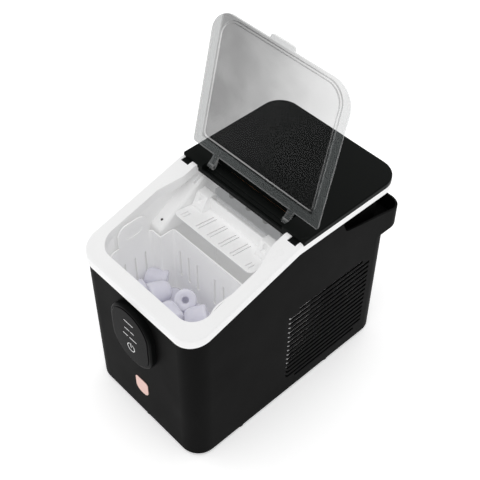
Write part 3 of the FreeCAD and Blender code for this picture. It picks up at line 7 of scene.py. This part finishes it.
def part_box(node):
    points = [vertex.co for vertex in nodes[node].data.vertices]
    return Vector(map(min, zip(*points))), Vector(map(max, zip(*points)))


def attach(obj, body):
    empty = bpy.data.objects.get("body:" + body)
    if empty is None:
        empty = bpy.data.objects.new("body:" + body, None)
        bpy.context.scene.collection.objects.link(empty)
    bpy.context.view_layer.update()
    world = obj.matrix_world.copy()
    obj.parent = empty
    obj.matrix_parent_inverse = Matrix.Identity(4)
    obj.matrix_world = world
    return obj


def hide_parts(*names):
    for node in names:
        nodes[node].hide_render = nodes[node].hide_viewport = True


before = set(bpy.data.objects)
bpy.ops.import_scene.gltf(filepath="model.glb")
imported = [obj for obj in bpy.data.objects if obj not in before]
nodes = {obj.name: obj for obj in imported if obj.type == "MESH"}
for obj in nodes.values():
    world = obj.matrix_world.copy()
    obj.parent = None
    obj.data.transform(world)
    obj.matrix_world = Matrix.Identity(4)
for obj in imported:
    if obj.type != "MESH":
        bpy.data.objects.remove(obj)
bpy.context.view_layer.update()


# ---------------------------------------------------------------- studio
# A white sweep under three large soft boxes, as for a catalogue picture of a small appliance.
# The camera looks down on the front right corner through a short telephoto lens.
def linear(hex_colour):
    """An sRGB hex value as linear red, green, blue and 1."""
    parts = [int(hex_colour[i:i + 2], 16) / 255 for i in (1, 3, 5)]
    return [p / 12.92 if p <= 0.04045 else ((p + 0.055) / 1.055) ** 2.4 for p in parts] + [1]


def add(tree, kind, settings=None, **links):
    """One node with its settings, and its inputs given as sockets or values by name."""
    node = tree.nodes.new(kind)
    for key, setting in (settings or {}).items():
        setattr(node, key, setting)
    for key, given in links.items():
        name = key.replace("_", " ")
        socket = next(s for s in node.inputs if s.name == name and s.enabled)
        if isinstance(given, bpy.types.NodeSocket):
            tree.links.new(given, socket)
        else:
            socket.default_value = given
    return node


def new_material(name):
    """An empty material, its node tree and its output node."""
    material = bpy.data.materials.new(name)
    material.use_nodes = True
    tree = material.node_tree
    tree.nodes.clear()
    return material, tree, tree.nodes.new("ShaderNodeOutputMaterial")


TARGET = Vector((-0.01119, 0.00290, 0.21251))
DISTANCE = 1.29331
AZIMUTH, ELEVATION, ROLL = (math.radians(a) for a in (46.616, 46.760, 0.554))
right = Vector((math.cos(AZIMUTH), math.sin(AZIMUTH), 0))
back = Vector((math.sin(AZIMUTH) * math.cos(ELEVATION),
               -math.cos(AZIMUTH) * math.cos(ELEVATION), math.sin(ELEVATION)))
up = back.cross(right)
across = right * math.cos(ROLL) + up * math.sin(ROLL)
upright = up * math.cos(ROLL) - right * math.sin(ROLL)
camera_data = bpy.data.cameras.new("camera")
camera_data.sensor_width = 36
camera_data.lens = 70.956
camera = bpy.data.objects.new("camera", camera_data)
turn = Matrix((across, upright, back)).transposed().to_4x4()
camera.matrix_world = Matrix.Translation(TARGET + back * DISTANCE) @ turn
bpy.context.scene.collection.objects.link(camera)
bpy.context.scene.camera = camera

SWEEP = 12.0
sweep_mesh = bpy.data.meshes.new("floor")
corners = [(-SWEEP, -SWEEP, 0), (SWEEP, -SWEEP, 0), (SWEEP, SWEEP, 0), (-SWEEP, SWEEP, 0)]
sweep_mesh.from_pydata(corners, [], [(0, 1, 2, 3)])
floor = bpy.data.objects.new("floor", sweep_mesh)
bpy.context.scene.collection.objects.link(floor)
paper, paper_tree, paper_out = new_material("white_paper_sweep")
paper_shader = add(paper_tree, "ShaderNodeBsdfPrincipled", Base_Color=linear("#fdfdfd"), Roughness=0.9,
                   Emission_Color=linear("#ffffff"), Emission_Strength=0.35)
paper_tree.links.new(paper_shader.outputs[0], paper_out.inputs[0])
sweep_mesh.materials.append(paper)

world = bpy.data.worlds.new("studio")
world.use_nodes = True
world.node_tree.nodes["Background"].inputs["Color"].default_value = linear("#ffffff")
world.node_tree.nodes["Background"].inputs["Strength"].default_value = 0.7
bpy.context.scene.world = world
bpy.context.scene.view_settings.view_transform = "Standard"


def soft_box(name, place, aim, width, power):
    """A square area light that faces a point."""
    light = bpy.data.lights.new(name, "AREA")
    light.size = width
    light.energy = power
    box = bpy.data.objects.new(name, light)
    box.location = place
    box.rotation_euler = (Vector(aim) - Vector(place)).to_track_quat("-Z", "Y").to_euler()
    bpy.context.scene.collection.objects.link(box)


soft_box("overhead_box", (0.2, -0.2, 2.2), (0, 0, 0.2), 1.8, 9)
soft_box("left_box", (-1.8, -1.2, 1.3), (0, 0, 0.2), 1.2, 4)
soft_box("back_box", (-0.6, 2.0, 1.4), (0, 0, 0.3), 1.2, 4)


# ---------------------------------------------------------------- black housing
# The housing, its side louvres and the carry grip are injection-moulded ABS in black, with a
# fine spark-eroded texture: dull, with a soft broad sheen on the rounded corners.
def plastic(name, colour, roughness, grain_mm=0.5, grain_depth=0.08, uneven=0.04, gloss_level=0.5,
            milky=0.0,
            painted_glow=0.0):
    """Moulded plastic: fine grain and slightly uneven gloss; the last argument paints a glow, emission
    in the plastic's own colour.
    """
    material, tree, out = new_material(name)
    place = add(tree, "ShaderNodeTexCoord").outputs["Object"]
    grain = add(tree, "ShaderNodeTexNoise", Vector=place, Scale=1000 / grain_mm, Detail=3.0)
    cloud = add(tree, "ShaderNodeTexNoise", Vector=place, Scale=14.0, Detail=4.0)
    sheen = add(tree, "ShaderNodeMapRange", Value=cloud.outputs["Fac"], From_Min=0.3, From_Max=0.7,
                To_Min=roughness - uneven, To_Max=roughness + uneven)
    bump = add(tree, "ShaderNodeBump", Height=grain.outputs["Fac"], Strength=grain_depth,
               Distance=0.0001)
    shade = add(tree, "ShaderNodeMapRange", Value=cloud.outputs["Fac"], To_Min=0.96, To_Max=1.04)
    tint = add(tree, "ShaderNodeHueSaturation", Color=linear(colour), Value=shade.outputs[0])
    shader = add(tree, "ShaderNodeBsdfPrincipled", Base_Color=tint.outputs["Color"],
                 Roughness=sheen.outputs["Result"], Normal=bump.outputs["Normal"], IOR=1.5)
    shader.inputs["Specular IOR Level"].default_value = gloss_level
    # Painted glow: the plastic emits its own colour, brighter than the lamps alone would light it.
    shader.inputs["Emission Color"].default_value = linear(colour)
    shader.inputs["Emission Strength"].default_value = painted_glow
    if milky:
        shader.inputs["Subsurface Weight"].default_value = milky
        shader.inputs["Subsurface Radius"].default_value = (1.0, 1.0, 1.0)
        shader.inputs["Subsurface Scale"].default_value = 0.004
    tree.links.new(shader.outputs[0], out.inputs[0])
    return material


def dress(names, material):
    """Give carried-over nodes one finish."""
    for name in names:
        slots = nodes[name].data.materials
        slots.clear()
        slots.append(material)


def soften(name, width_mm, segments=2):
    """Close a carried-over node's mesh and round its sharp edges as the mould does."""
    weld = nodes[name].modifiers.new("weld", "WELD")
    weld.merge_threshold = 0.00001
    bevel = nodes[name].modifiers.new("bevel", "BEVEL")
    bevel.width = width_mm / 1000
    bevel.segments = segments
    bevel.limit_method = "ANGLE"
    bevel.angle_limit = math.radians(40)


housing_abs = plastic("textured_black_abs", "#0f0f0f", 0.5, grain_mm=0.8, grain_depth=0.12,
                      gloss_level=0.02)
dress(["front_panel", "left_side_panel", "right_side_panel", "rear_panel", "left_grip_wall",
       "right_grip_wall",
       "carry_grip", "left_vent_grille", "right_vent_grille", "base_plate", "cord_gland"], housing_abs)

# ---------------------------------------------------------------- rubber feet
# Five short feet of black EPDM rubber, moulded with a slightly hollow tread and pushed into
# the base.
def lathe(name, profile, segments=32):
    """A closed solid of revolution about Z from (radius, height) pairs in millimetres."""
    shape = bmesh.new()
    rings = []
    for radius, height in profile:
        if radius < 1e-6:
            rings.append([shape.verts.new((0, 0, height / 1000))])
            continue
        corners = []
        for k in range(segments):
            angle = 2 * math.pi * k / segments
            reach = radius / 1000
            corners.append(shape.verts.new((reach * math.cos(angle), reach * math.sin(angle),
                                            height / 1000)))
        rings.append(corners)
    for lower, upper in zip(rings, rings[1:]):
        for k in range(segments):
            after = k + 1
            loop = [lower[k % len(lower)], lower[after % len(lower)],
                    upper[after % len(upper)], upper[k % len(upper)]]
            loop = list(dict.fromkeys(loop))
            if len(loop) > 2:
                shape.faces.new(loop)
    bmesh.ops.recalc_face_normals(shape, faces=shape.faces)
    for face in shape.faces:
        face.smooth = True
    mesh = bpy.data.meshes.new(name)
    shape.to_mesh(mesh)
    shape.free()
    return mesh


def repeat_unit(name, unit_mesh, places, material):
    """Copies of one small mesh at (position in metres, direction of its +Z), as one plain mesh."""
    unit = bpy.data.objects.new(name + "_unit", unit_mesh)
    bpy.context.scene.collection.objects.link(unit)
    spots = bpy.data.meshes.new(name)
    spots.from_pydata([p for p, _ in places], [], [])
    turns = spots.attributes.new("turn", "FLOAT_VECTOR", "POINT")
    for index, (_, direction) in enumerate(places):
        turns.data[index].vector = Vector(direction).to_track_quat("Z", "Y").to_euler()
    piece = bpy.data.objects.new(name, spots)
    bpy.context.scene.collection.objects.link(piece)
    tree = bpy.data.node_groups.new(name, "GeometryNodeTree")
    tree.interface.new_socket("Spots", in_out="INPUT", socket_type="NodeSocketGeometry")
    unit_socket = tree.interface.new_socket("Unit", in_out="INPUT", socket_type="NodeSocketObject")
    size_socket = tree.interface.new_socket("Size", in_out="INPUT", socket_type="NodeSocketFloat")
    tree.interface.new_socket("Copies", in_out="OUTPUT", socket_type="NodeSocketGeometry")
    given = tree.nodes.new("NodeGroupInput")
    shape = add(tree, "GeometryNodeObjectInfo", Object=given.outputs["Unit"])
    turn_value = add(tree, "GeometryNodeInputNamedAttribute", {"data_type": "FLOAT_VECTOR"},
                     Name="turn")
    rotation = add(tree, "FunctionNodeEulerToRotation", Euler=turn_value.outputs["Attribute"])
    copies = add(tree, "GeometryNodeInstanceOnPoints", Points=given.outputs["Spots"],
                 Instance=shape.outputs["Geometry"],
                 Rotation=rotation.outputs[0], Scale=given.outputs["Size"])
    real = add(tree, "GeometryNodeRealizeInstances", Geometry=copies.outputs[0])
    finished = add(tree, "GeometryNodeSetMaterial", Geometry=real.outputs[0], Material=material)
    result = tree.nodes.new("NodeGroupOutput")
    tree.links.new(finished.outputs[0], result.inputs[0])
    maker = piece.modifiers.new("copies", "NODES")
    maker.node_group = tree
    maker[unit_socket.identifier] = unit
    maker[size_socket.identifier] = 1.0
    graph = bpy.context.evaluated_depsgraph_get()
    made = bpy.data.meshes.new_from_object(piece.evaluated_get(graph))
    piece.modifiers.remove(maker)
    piece.data = made
    made.materials.clear()
    made.materials.append(material)
    bpy.data.objects.remove(unit)
    return piece


def stand_for(piece, body, node):
    """The piece rides a body and takes the place of one carried-over node."""
    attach(piece, body)
    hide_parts(node)


rubber = plastic("epdm_rubber", "#161616", 0.7, grain_mm=1.0, grain_depth=0.2, gloss_level=0.25)
dress(["compressor_grommets", "drain_plug", "water_hose"], rubber)
FOOT_TREAD = [(0, 0.4), (4.6, 0.4), (5.2, 0), (6.2, 0), (6.8, 0.4), (7.0, 1.1), (7.0, 4.0), (0, 4.0)]
feet_low, feet_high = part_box("rubber_feet")
FOOT = 0.007
MIDDLE_ROW = -0.10425
FRONT_FOOT_X = 0.004
UPRIGHT = (0, 0, 1)
foot_places = []
for side in (-1, 1):
    for y in (feet_high.y - FOOT, MIDDLE_ROW):
        foot_places.append(((side * (feet_high.x - FOOT), y, 0), UPRIGHT))
foot_places.append(((FRONT_FOOT_X, feet_low.y + FOOT, 0), UPRIGHT))
foot_pads = repeat_unit("foot_pads", lathe("foot", FOOT_TREAD), foot_places, rubber)
stand_for(foot_pads, "housing", "rubber_feet")

# ---------------------------------------------------------------- white top frame
# The frame that caps the housing round the opening is glossy white ABS, polished in the
# mould, so it shows soft highlights along its rounded edges.
# The frame also carries a faint painted glow, emission in its own white.
white_abs = plastic("polished_white_abs", "#ececec", 0.3, grain_mm=2.0, grain_depth=0.02,
                    gloss_level=0.3, painted_glow=0.1)
dress(["top_frame"], white_abs)
soften("top_frame", 1.0, 3)

# ---------------------------------------------------------------- black cover and hinge rail
# The rear cover and the ridged strip under the lid's hinge are satin black ABS, smoother
# than the housing.
cover_abs = plastic("satin_black_abs", "#101211", 0.34, grain_mm=1.2, grain_depth=0.04,
                    gloss_level=0.04)
dress(["top_cover", "hinge_rail"], cover_abs)
soften("top_cover", 0.5)
soften("hinge_rail", 0.3)

# ---------------------------------------------------------------- smoked lid
# The lid is one moulding of smoke-grey polycarbonate.  Its raised panel is lightly frosted
# and darker to the left; the border and the finger tab are clearer, and its edges and sides carry a
# painted highlight.
smoked, tree, out = new_material("smoked_polycarbonate")
place = add(tree, "ShaderNodeTexCoord").outputs["Object"]
axes = add(tree, "ShaderNodeSeparateXYZ", Vector=place)
frost = add(tree, "ShaderNodeTexNoise", Vector=place, Scale=900.0, Detail=2.0)
bump = add(tree, "ShaderNodeBump", Height=frost.outputs["Fac"], Strength=0.02, Distance=0.0001)
LID_FACE = (0, 0.881, -0.473)  # out of the open lid's top
LID_RUN = (0, 0.473, 0.881)  # from the hinge to the finger tab
HINGE_RUN = 0.2748  # the hinge's own place along LID_RUN, metres
LEFT, RIGHT = -0.09, 0.11
along = add(tree, "ShaderNodeVectorMath", {"operation": "DOT_PRODUCT"}, Vector=place)
along.inputs[1].default_value = LID_RUN
side = add(tree, "ShaderNodeMath", {"operation": "ABSOLUTE"}, Value=axes.outputs["X"])


def ramp(value, start, end, low=0.0, high=1.0):
    """A smooth change from low to high while the value goes from start to end."""
    return add(tree, "ShaderNodeMapRange", {"interpolation_type": "SMOOTHSTEP"}, Value=value,
               From_Min=start, From_Max=end, To_Min=low, To_Max=high).outputs["Result"]


def combine(operation, first, second):
    """One sum, product or maximum of two sockets or numbers."""
    node = add(tree, "ShaderNodeMath", {"operation": operation})
    for socket, given in zip(node.inputs, (first, second)):
        if isinstance(given, bpy.types.NodeSocket):
            tree.links.new(given, socket)
        else:
            socket.default_value = given
    return node.outputs[0]


run = along.outputs["Value"]
side_border = ramp(side.outputs[0], 0.1005, 0.1015)
hinge_border = ramp(run, HINGE_RUN + 0.0275, HINGE_RUN + 0.0285, 1.0, 0.0)
front_border = ramp(run, HINGE_RUN + 0.2015, HINGE_RUN + 0.2025)
border = combine("MAXIMUM", side_border, combine("MAXIMUM", hinge_border, front_border))
tab = ramp(run, HINGE_RUN + 0.2085, HINGE_RUN + 0.2095)
# Painted highlight: faces turned away from the lid's top get a light grey colour and more opacity, more
# strongly towards the finger tab.
facing = add(tree, "ShaderNodeVectorMath", {"operation": "DOT_PRODUCT"},
             Vector=add(tree, "ShaderNodeTexCoord").outputs["Normal"])
facing.inputs[1].default_value = LID_FACE
squareness = add(tree, "ShaderNodeMath", {"operation": "ABSOLUTE"}, Value=facing.outputs["Value"])
edge_highlight_mask = ramp(squareness.outputs[0], 0.6, 0.9, 1.0, 0.0)
mottle = add(tree, "ShaderNodeTexNoise", Vector=place, Scale=22.0, Detail=6.0)
mottled = ramp(mottle.outputs["Fac"], 0.3, 0.7, 0.94, 1.06)
panel_tint = combine("MULTIPLY", ramp(axes.outputs["X"], LEFT, RIGHT, 0.49, 0.18), mottled)
border_tint = ramp(axes.outputs["X"], LEFT, RIGHT, 0.36, 0.22)
tint_span = combine("MULTIPLY", border, combine("SUBTRACT", border_tint, panel_tint))
tinted = combine("ADD", panel_tint, tint_span)
clear_tab = combine("MULTIPLY", tinted, combine("SUBTRACT", 1.0, combine("MULTIPLY", tab, 0.7)))
edge_highlight_strength = ramp(run, HINGE_RUN + 0.12, HINGE_RUN + 0.19, 0.14, 0.5)
opacity = combine("MAXIMUM", clear_tab, combine("MULTIPLY", edge_highlight_mask, edge_highlight_strength))
base = add(tree, "ShaderNodeMix", {"data_type": "RGBA"}, Factor=border)
base.inputs[6].default_value = linear("#242525")
base.inputs[7].default_value = linear("#6c7070")
painted_edge_highlight = add(tree, "ShaderNodeMix", {"data_type": "RGBA"}, Factor=edge_highlight_mask)
tree.links.new(base.outputs[2], painted_edge_highlight.inputs[6])
painted_edge_highlight.inputs[7].default_value = linear("#d8d8d8")
sheet = add(tree, "ShaderNodeBsdfPrincipled", Base_Color=painted_edge_highlight.outputs[2], Roughness=0.12,
            Normal=bump.outputs["Normal"], IOR=1.58, Alpha=opacity)
sheet.inputs["Specular IOR Level"].default_value = 0.06
tree.links.new(sheet.outputs[0], out.inputs[0])
dress(["lid"], smoked)
soften("lid", 0.7, 3)

# ---------------------------------------------------------------- white inside parts
# Liner, basket, shovel and cheeks are food-safe white ABS and polypropylene with a satin
# mould finish that lets a little light through; they also carry a painted glow, emission in their own
# white.
inside_white = plastic("satin_white_polypropylene", "#eeeeee", 0.4, grain_mm=1.5, grain_depth=0.03,
                       gloss_level=0.3,
                       milky=0.1, painted_glow=0.115)
dress(["inner_liner", "sensor_housing", "ice_basket", "ice_shovel", "shovel_clips", "left_cheek",
       "right_cheek",
       "drain_spout", "float_stem", "level_float"], inside_white)
for name, width in (("inner_liner", 0.8), ("sensor_housing", 0.8), ("ice_basket", 0.6),
                    ("ice_shovel", 0.35),
                    ("shovel_clips", 0.8), ("left_cheek", 0.4), ("right_cheek", 0.4)):
    soften(name, width)

# ---------------------------------------------------------------- bullets of ice
# Cloudy bullet ice lies in the basket: thimbles about 31 mm across, frozen on to the fingers,
# so each has a round hole in one end and a domed other end.
ice, tree, out = new_material("bullet_ice")
place = add(tree, "ShaderNodeTexCoord").outputs["Object"]
clouding = add(tree, "ShaderNodeTexNoise", Vector=place, Scale=60.0, Detail=5.0)
wet = add(tree, "ShaderNodeTexNoise", Vector=place, Scale=180.0, Detail=2.0)
bump = add(tree, "ShaderNodeBump", Height=wet.outputs["Fac"], Strength=0.12, Distance=0.001)
tint = add(tree, "ShaderNodeMix", {"data_type": "RGBA"}, Factor=clouding.outputs["Fac"])
tint.inputs[6].default_value = linear("#cfced8")
tint.inputs[7].default_value = linear("#e2e1ea")
frozen = add(tree, "ShaderNodeBsdfPrincipled", Base_Color=tint.outputs[2], Roughness=0.22, IOR=1.31,
             Normal=bump.outputs["Normal"])
frozen.inputs["Subsurface Weight"].default_value = 0.7
frozen.inputs["Subsurface Radius"].default_value = (1.0, 1.0, 1.1)
frozen.inputs["Subsurface Scale"].default_value = 0.012
# Painted glow: the ice emits its own tint, brighter than the lamps alone would light it.
frozen.inputs["Emission Color"].default_value = linear("#cfced8")
frozen.inputs["Emission Strength"].default_value = 0.1
tree.links.new(frozen.outputs[0], out.inputs[0])
BULLET = [(0, 6), (4.0, 7), (4.6, 12), (4.9, 30), (5.9, 31.6), (13.4, 32), (15.2, 30.6), (15.6, 27),
          (15.0, 9),
          (12.6, 3), (8, 0.6), (0, 0)]
BULLET_HALF = 16
COLUMN_START, COLUMN_PITCH, COLUMNS = -0.0735, 0.0294, 6
ROWS = (-0.150, -0.120, -0.091)
bullet_mesh = lathe("bullet", [(radius, height - BULLET_HALF) for radius, height in BULLET], 28)
floor_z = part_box("ice_basket")[0].z + BULLET_HALF / 1000
heap = []
for row, y in enumerate(ROWS):
    for column in range(COLUMNS):
        if y == ROWS[-1] and column == 0:
            continue  # the basket's notch
        lean = ((column * 7 + row * 5) % 6) * math.pi / 3 + 0.4
        x = COLUMN_START + COLUMN_PITCH * column
        heap.append(((x, y, floor_z), (math.cos(lean), math.sin(lean), 0.15)))
heap += [((-0.020, -0.090, floor_z + 0.022), (0.498, -0.470, 0.729)),
         ((-0.074, -0.098, floor_z + 0.026), (0.8, 0.58, -0.1)),
         ((-0.052, -0.110, floor_z + 0.027), (-0.25, -0.9, 0.15)),
         ((0.012, -0.099, floor_z + 0.020), (0.55, 0.75, 0.2)),
         ((-0.017, -0.121, floor_z + 0.021), (0.95, -0.25, -0.1)),
         ((-0.074, -0.132, floor_z + 0.022), (0.2, 0.95, 0.2)),
         ((0.045, -0.122, floor_z + 0.018), (0.3, -0.9, 0.35))]
ice_heap = repeat_unit("ice_bullets", bullet_mesh, heap, ice)
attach(ice_heap, "ice_basket")

# ---------------------------------------------------------------- water tray
# The tilting tray is moulded in translucent grey polypropylene, and carries a painted glow, emission in
# its own grey.
tray_grey = plastic("grey_polypropylene", "#c4c5c6", 0.38, grain_mm=1.5, grain_depth=0.03, milky=0.15,
                    painted_glow=0.24)
dress(["water_tray", "tray_drive_shaft", "tray_pivot"], tray_grey)
soften("water_tray", 0.5)

# ---------------------------------------------------------------- evaporator
# Eight nickel-plated copper fingers with domed tips are brazed under a plated bar; the
# refrigerant runs through bare drawn-copper tube on top.
def metal(name, colour, roughness, grain_mm=0.6, stretch=(1, 1, 1), depth=0.05):
    """Bare metal with a fine drawn, brushed or cast grain."""
    material, tree, out = new_material(name)
    place = add(tree, "ShaderNodeTexCoord").outputs["Object"]
    mapped = add(tree, "ShaderNodeMapping", Vector=place, Scale=stretch)
    grain = add(tree, "ShaderNodeTexNoise", Vector=mapped.outputs[0], Scale=1000 / grain_mm, Detail=3.0)
    gloss = add(tree, "ShaderNodeMapRange", Value=grain.outputs["Fac"], To_Min=roughness * 0.8,
                To_Max=roughness * 1.25)
    bump = add(tree, "ShaderNodeBump", Height=grain.outputs["Fac"], Strength=depth, Distance=0.0001)
    shader = add(tree, "ShaderNodeBsdfPrincipled", Base_Color=linear(colour), Metallic=1.0,
                 Roughness=gloss.outputs["Result"], Normal=bump.outputs["Normal"])
    tree.links.new(shader.outputs[0], out.inputs[0])
    return material


nickel = metal("bright_nickel_plate", "#d3d3d1", 0.2, depth=0.02)
dress(["evaporator_plate"], nickel)
soften("evaporator_plate", 0.5)
rods_low, rods_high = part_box("evaporator_fingers")
ROD = 4.5  # radius, millimetres
rod_length = (rods_high.z - rods_low.z) * 1000
ROD_PROFILE = [(ROD * math.sin(a * math.pi / 12),
                -ROD * math.cos(a * math.pi / 12) + ROD) for a in range(7)]
ROD_PROFILE += [(ROD, rod_length - 1.5), (ROD, rod_length), (0, rod_length)]
inset = ROD / 1000
rod_pitch = (rods_high.x - rods_low.x - 2 * inset) / 3
rod_places = []
for column in range(4):
    for y in (rods_low.y + inset, rods_high.y - inset):
        rod_places.append(((rods_low.x + inset + column * rod_pitch, y, rods_low.z), UPRIGHT))
finger_rods = repeat_unit("finger_rods", lathe("rod", ROD_PROFILE, 24), rod_places, nickel)
stand_for(finger_rods, "housing", "evaporator_fingers")
copper = metal("drawn_copper", "#c98a66", 0.3)
dress(["evaporator_tube", "suction_line", "liquid_line"], copper)

# ---------------------------------------------------------------- small steel parts
# Hinge pins and the shovel's shaft are ground steel; brackets and motor can are zinc plated.
steel = metal("plain_steel", "#a9a9a8", 0.35)
dress(["hinge_pins", "shovel_shaft", "compressor_bracket", "fan_motor"], steel)
SCREW = [(0, 1.3), (1.1, 1.3), (1.3, 0.1), (2.4, 0), (3.0, 0.4), (3.2, 1.0), (3.2, 1.6), (1.5, 1.6),
         (1.5, 9.6), (0, 10.6)]
HEAD = 0.0032
screws_low, screws_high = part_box("base_screws")
screw_length = (screws_high.z - screws_low.z) * 1000
screw_mesh = lathe("screw", [(radius, min(height, screw_length)) for radius, height in SCREW], 16)
screw_places = []
for side in (-1, 1):
    for y in (screws_low.y + HEAD, (screws_low.y + screws_high.y) / 2, screws_high.y - HEAD):
        screw_places.append(((side * (screws_high.x - HEAD), y, screws_low.z), UPRIGHT))
pan_head_screws = repeat_unit("pan_head_screws", screw_mesh, screw_places, steel)
stand_for(pan_head_screws, "housing", "base_screws")

# ---------------------------------------------------------------- machine bay
# Behind the louvres: an enamelled compressor can, an aluminium fin-and-tube condenser, the
# fan's shroud and motor, a pump, and green circuit boards.
aluminium = metal("mill_aluminium", "#c6c7c9", 0.36)
dress(["condenser"], aluminium)
bay_plastic = plastic("dull_grey_shroud_plastic", "#4a4a4a", 0.6)
dress(["fan_shroud", "fan_rotor"], bay_plastic)
enamel = plastic("black_enamel", "#101010", 0.22, grain_mm=3.0, grain_depth=0.02)
dress(["compressor"], enamel)
casing = plastic("moulded_casing", "#d8d7d2", 0.45)
dress(["tray_gear_motor", "water_pump"], casing)
board = plastic("green_circuit_board", "#1d5a35", 0.4, grain_mm=1.0)
dress(["display_board", "main_board"], board)
dark_lens = plastic("dark_sensor_lens", "#1a0f14", 0.12)
dress(["ice_sensor_emitter", "ice_sensor_receiver"], dark_lens)

# ---------------------------------------------------------------- control pod and badge
# The raised pod is satin black ABS round a glossy black touch panel with printed white
# marks; the plain plate below it is rose-gold anodised aluminium.
pod_abs = plastic("satin_black_pod_abs", "#0c0d0d", 0.4, grain_mm=1.2, grain_depth=0.04,
                  gloss_level=0.03)
dress(["control_pod"], pod_abs)
panel = plastic("black_acrylic_panel", "#0b0b0c", 0.25, grain_mm=3.0, grain_depth=0.01,
                gloss_level=0.015)
dress(["touch_panel"], panel)
ink = plastic("white_printed_ink", "#e8e8e8", 0.5)
dress(["panel_icons"], ink)
rose = metal("rose_anodised_aluminium", "#ecc8be", 0.34, stretch=(0.05, 1, 1), depth=0.04)
dress(["badge_plate"], rose)
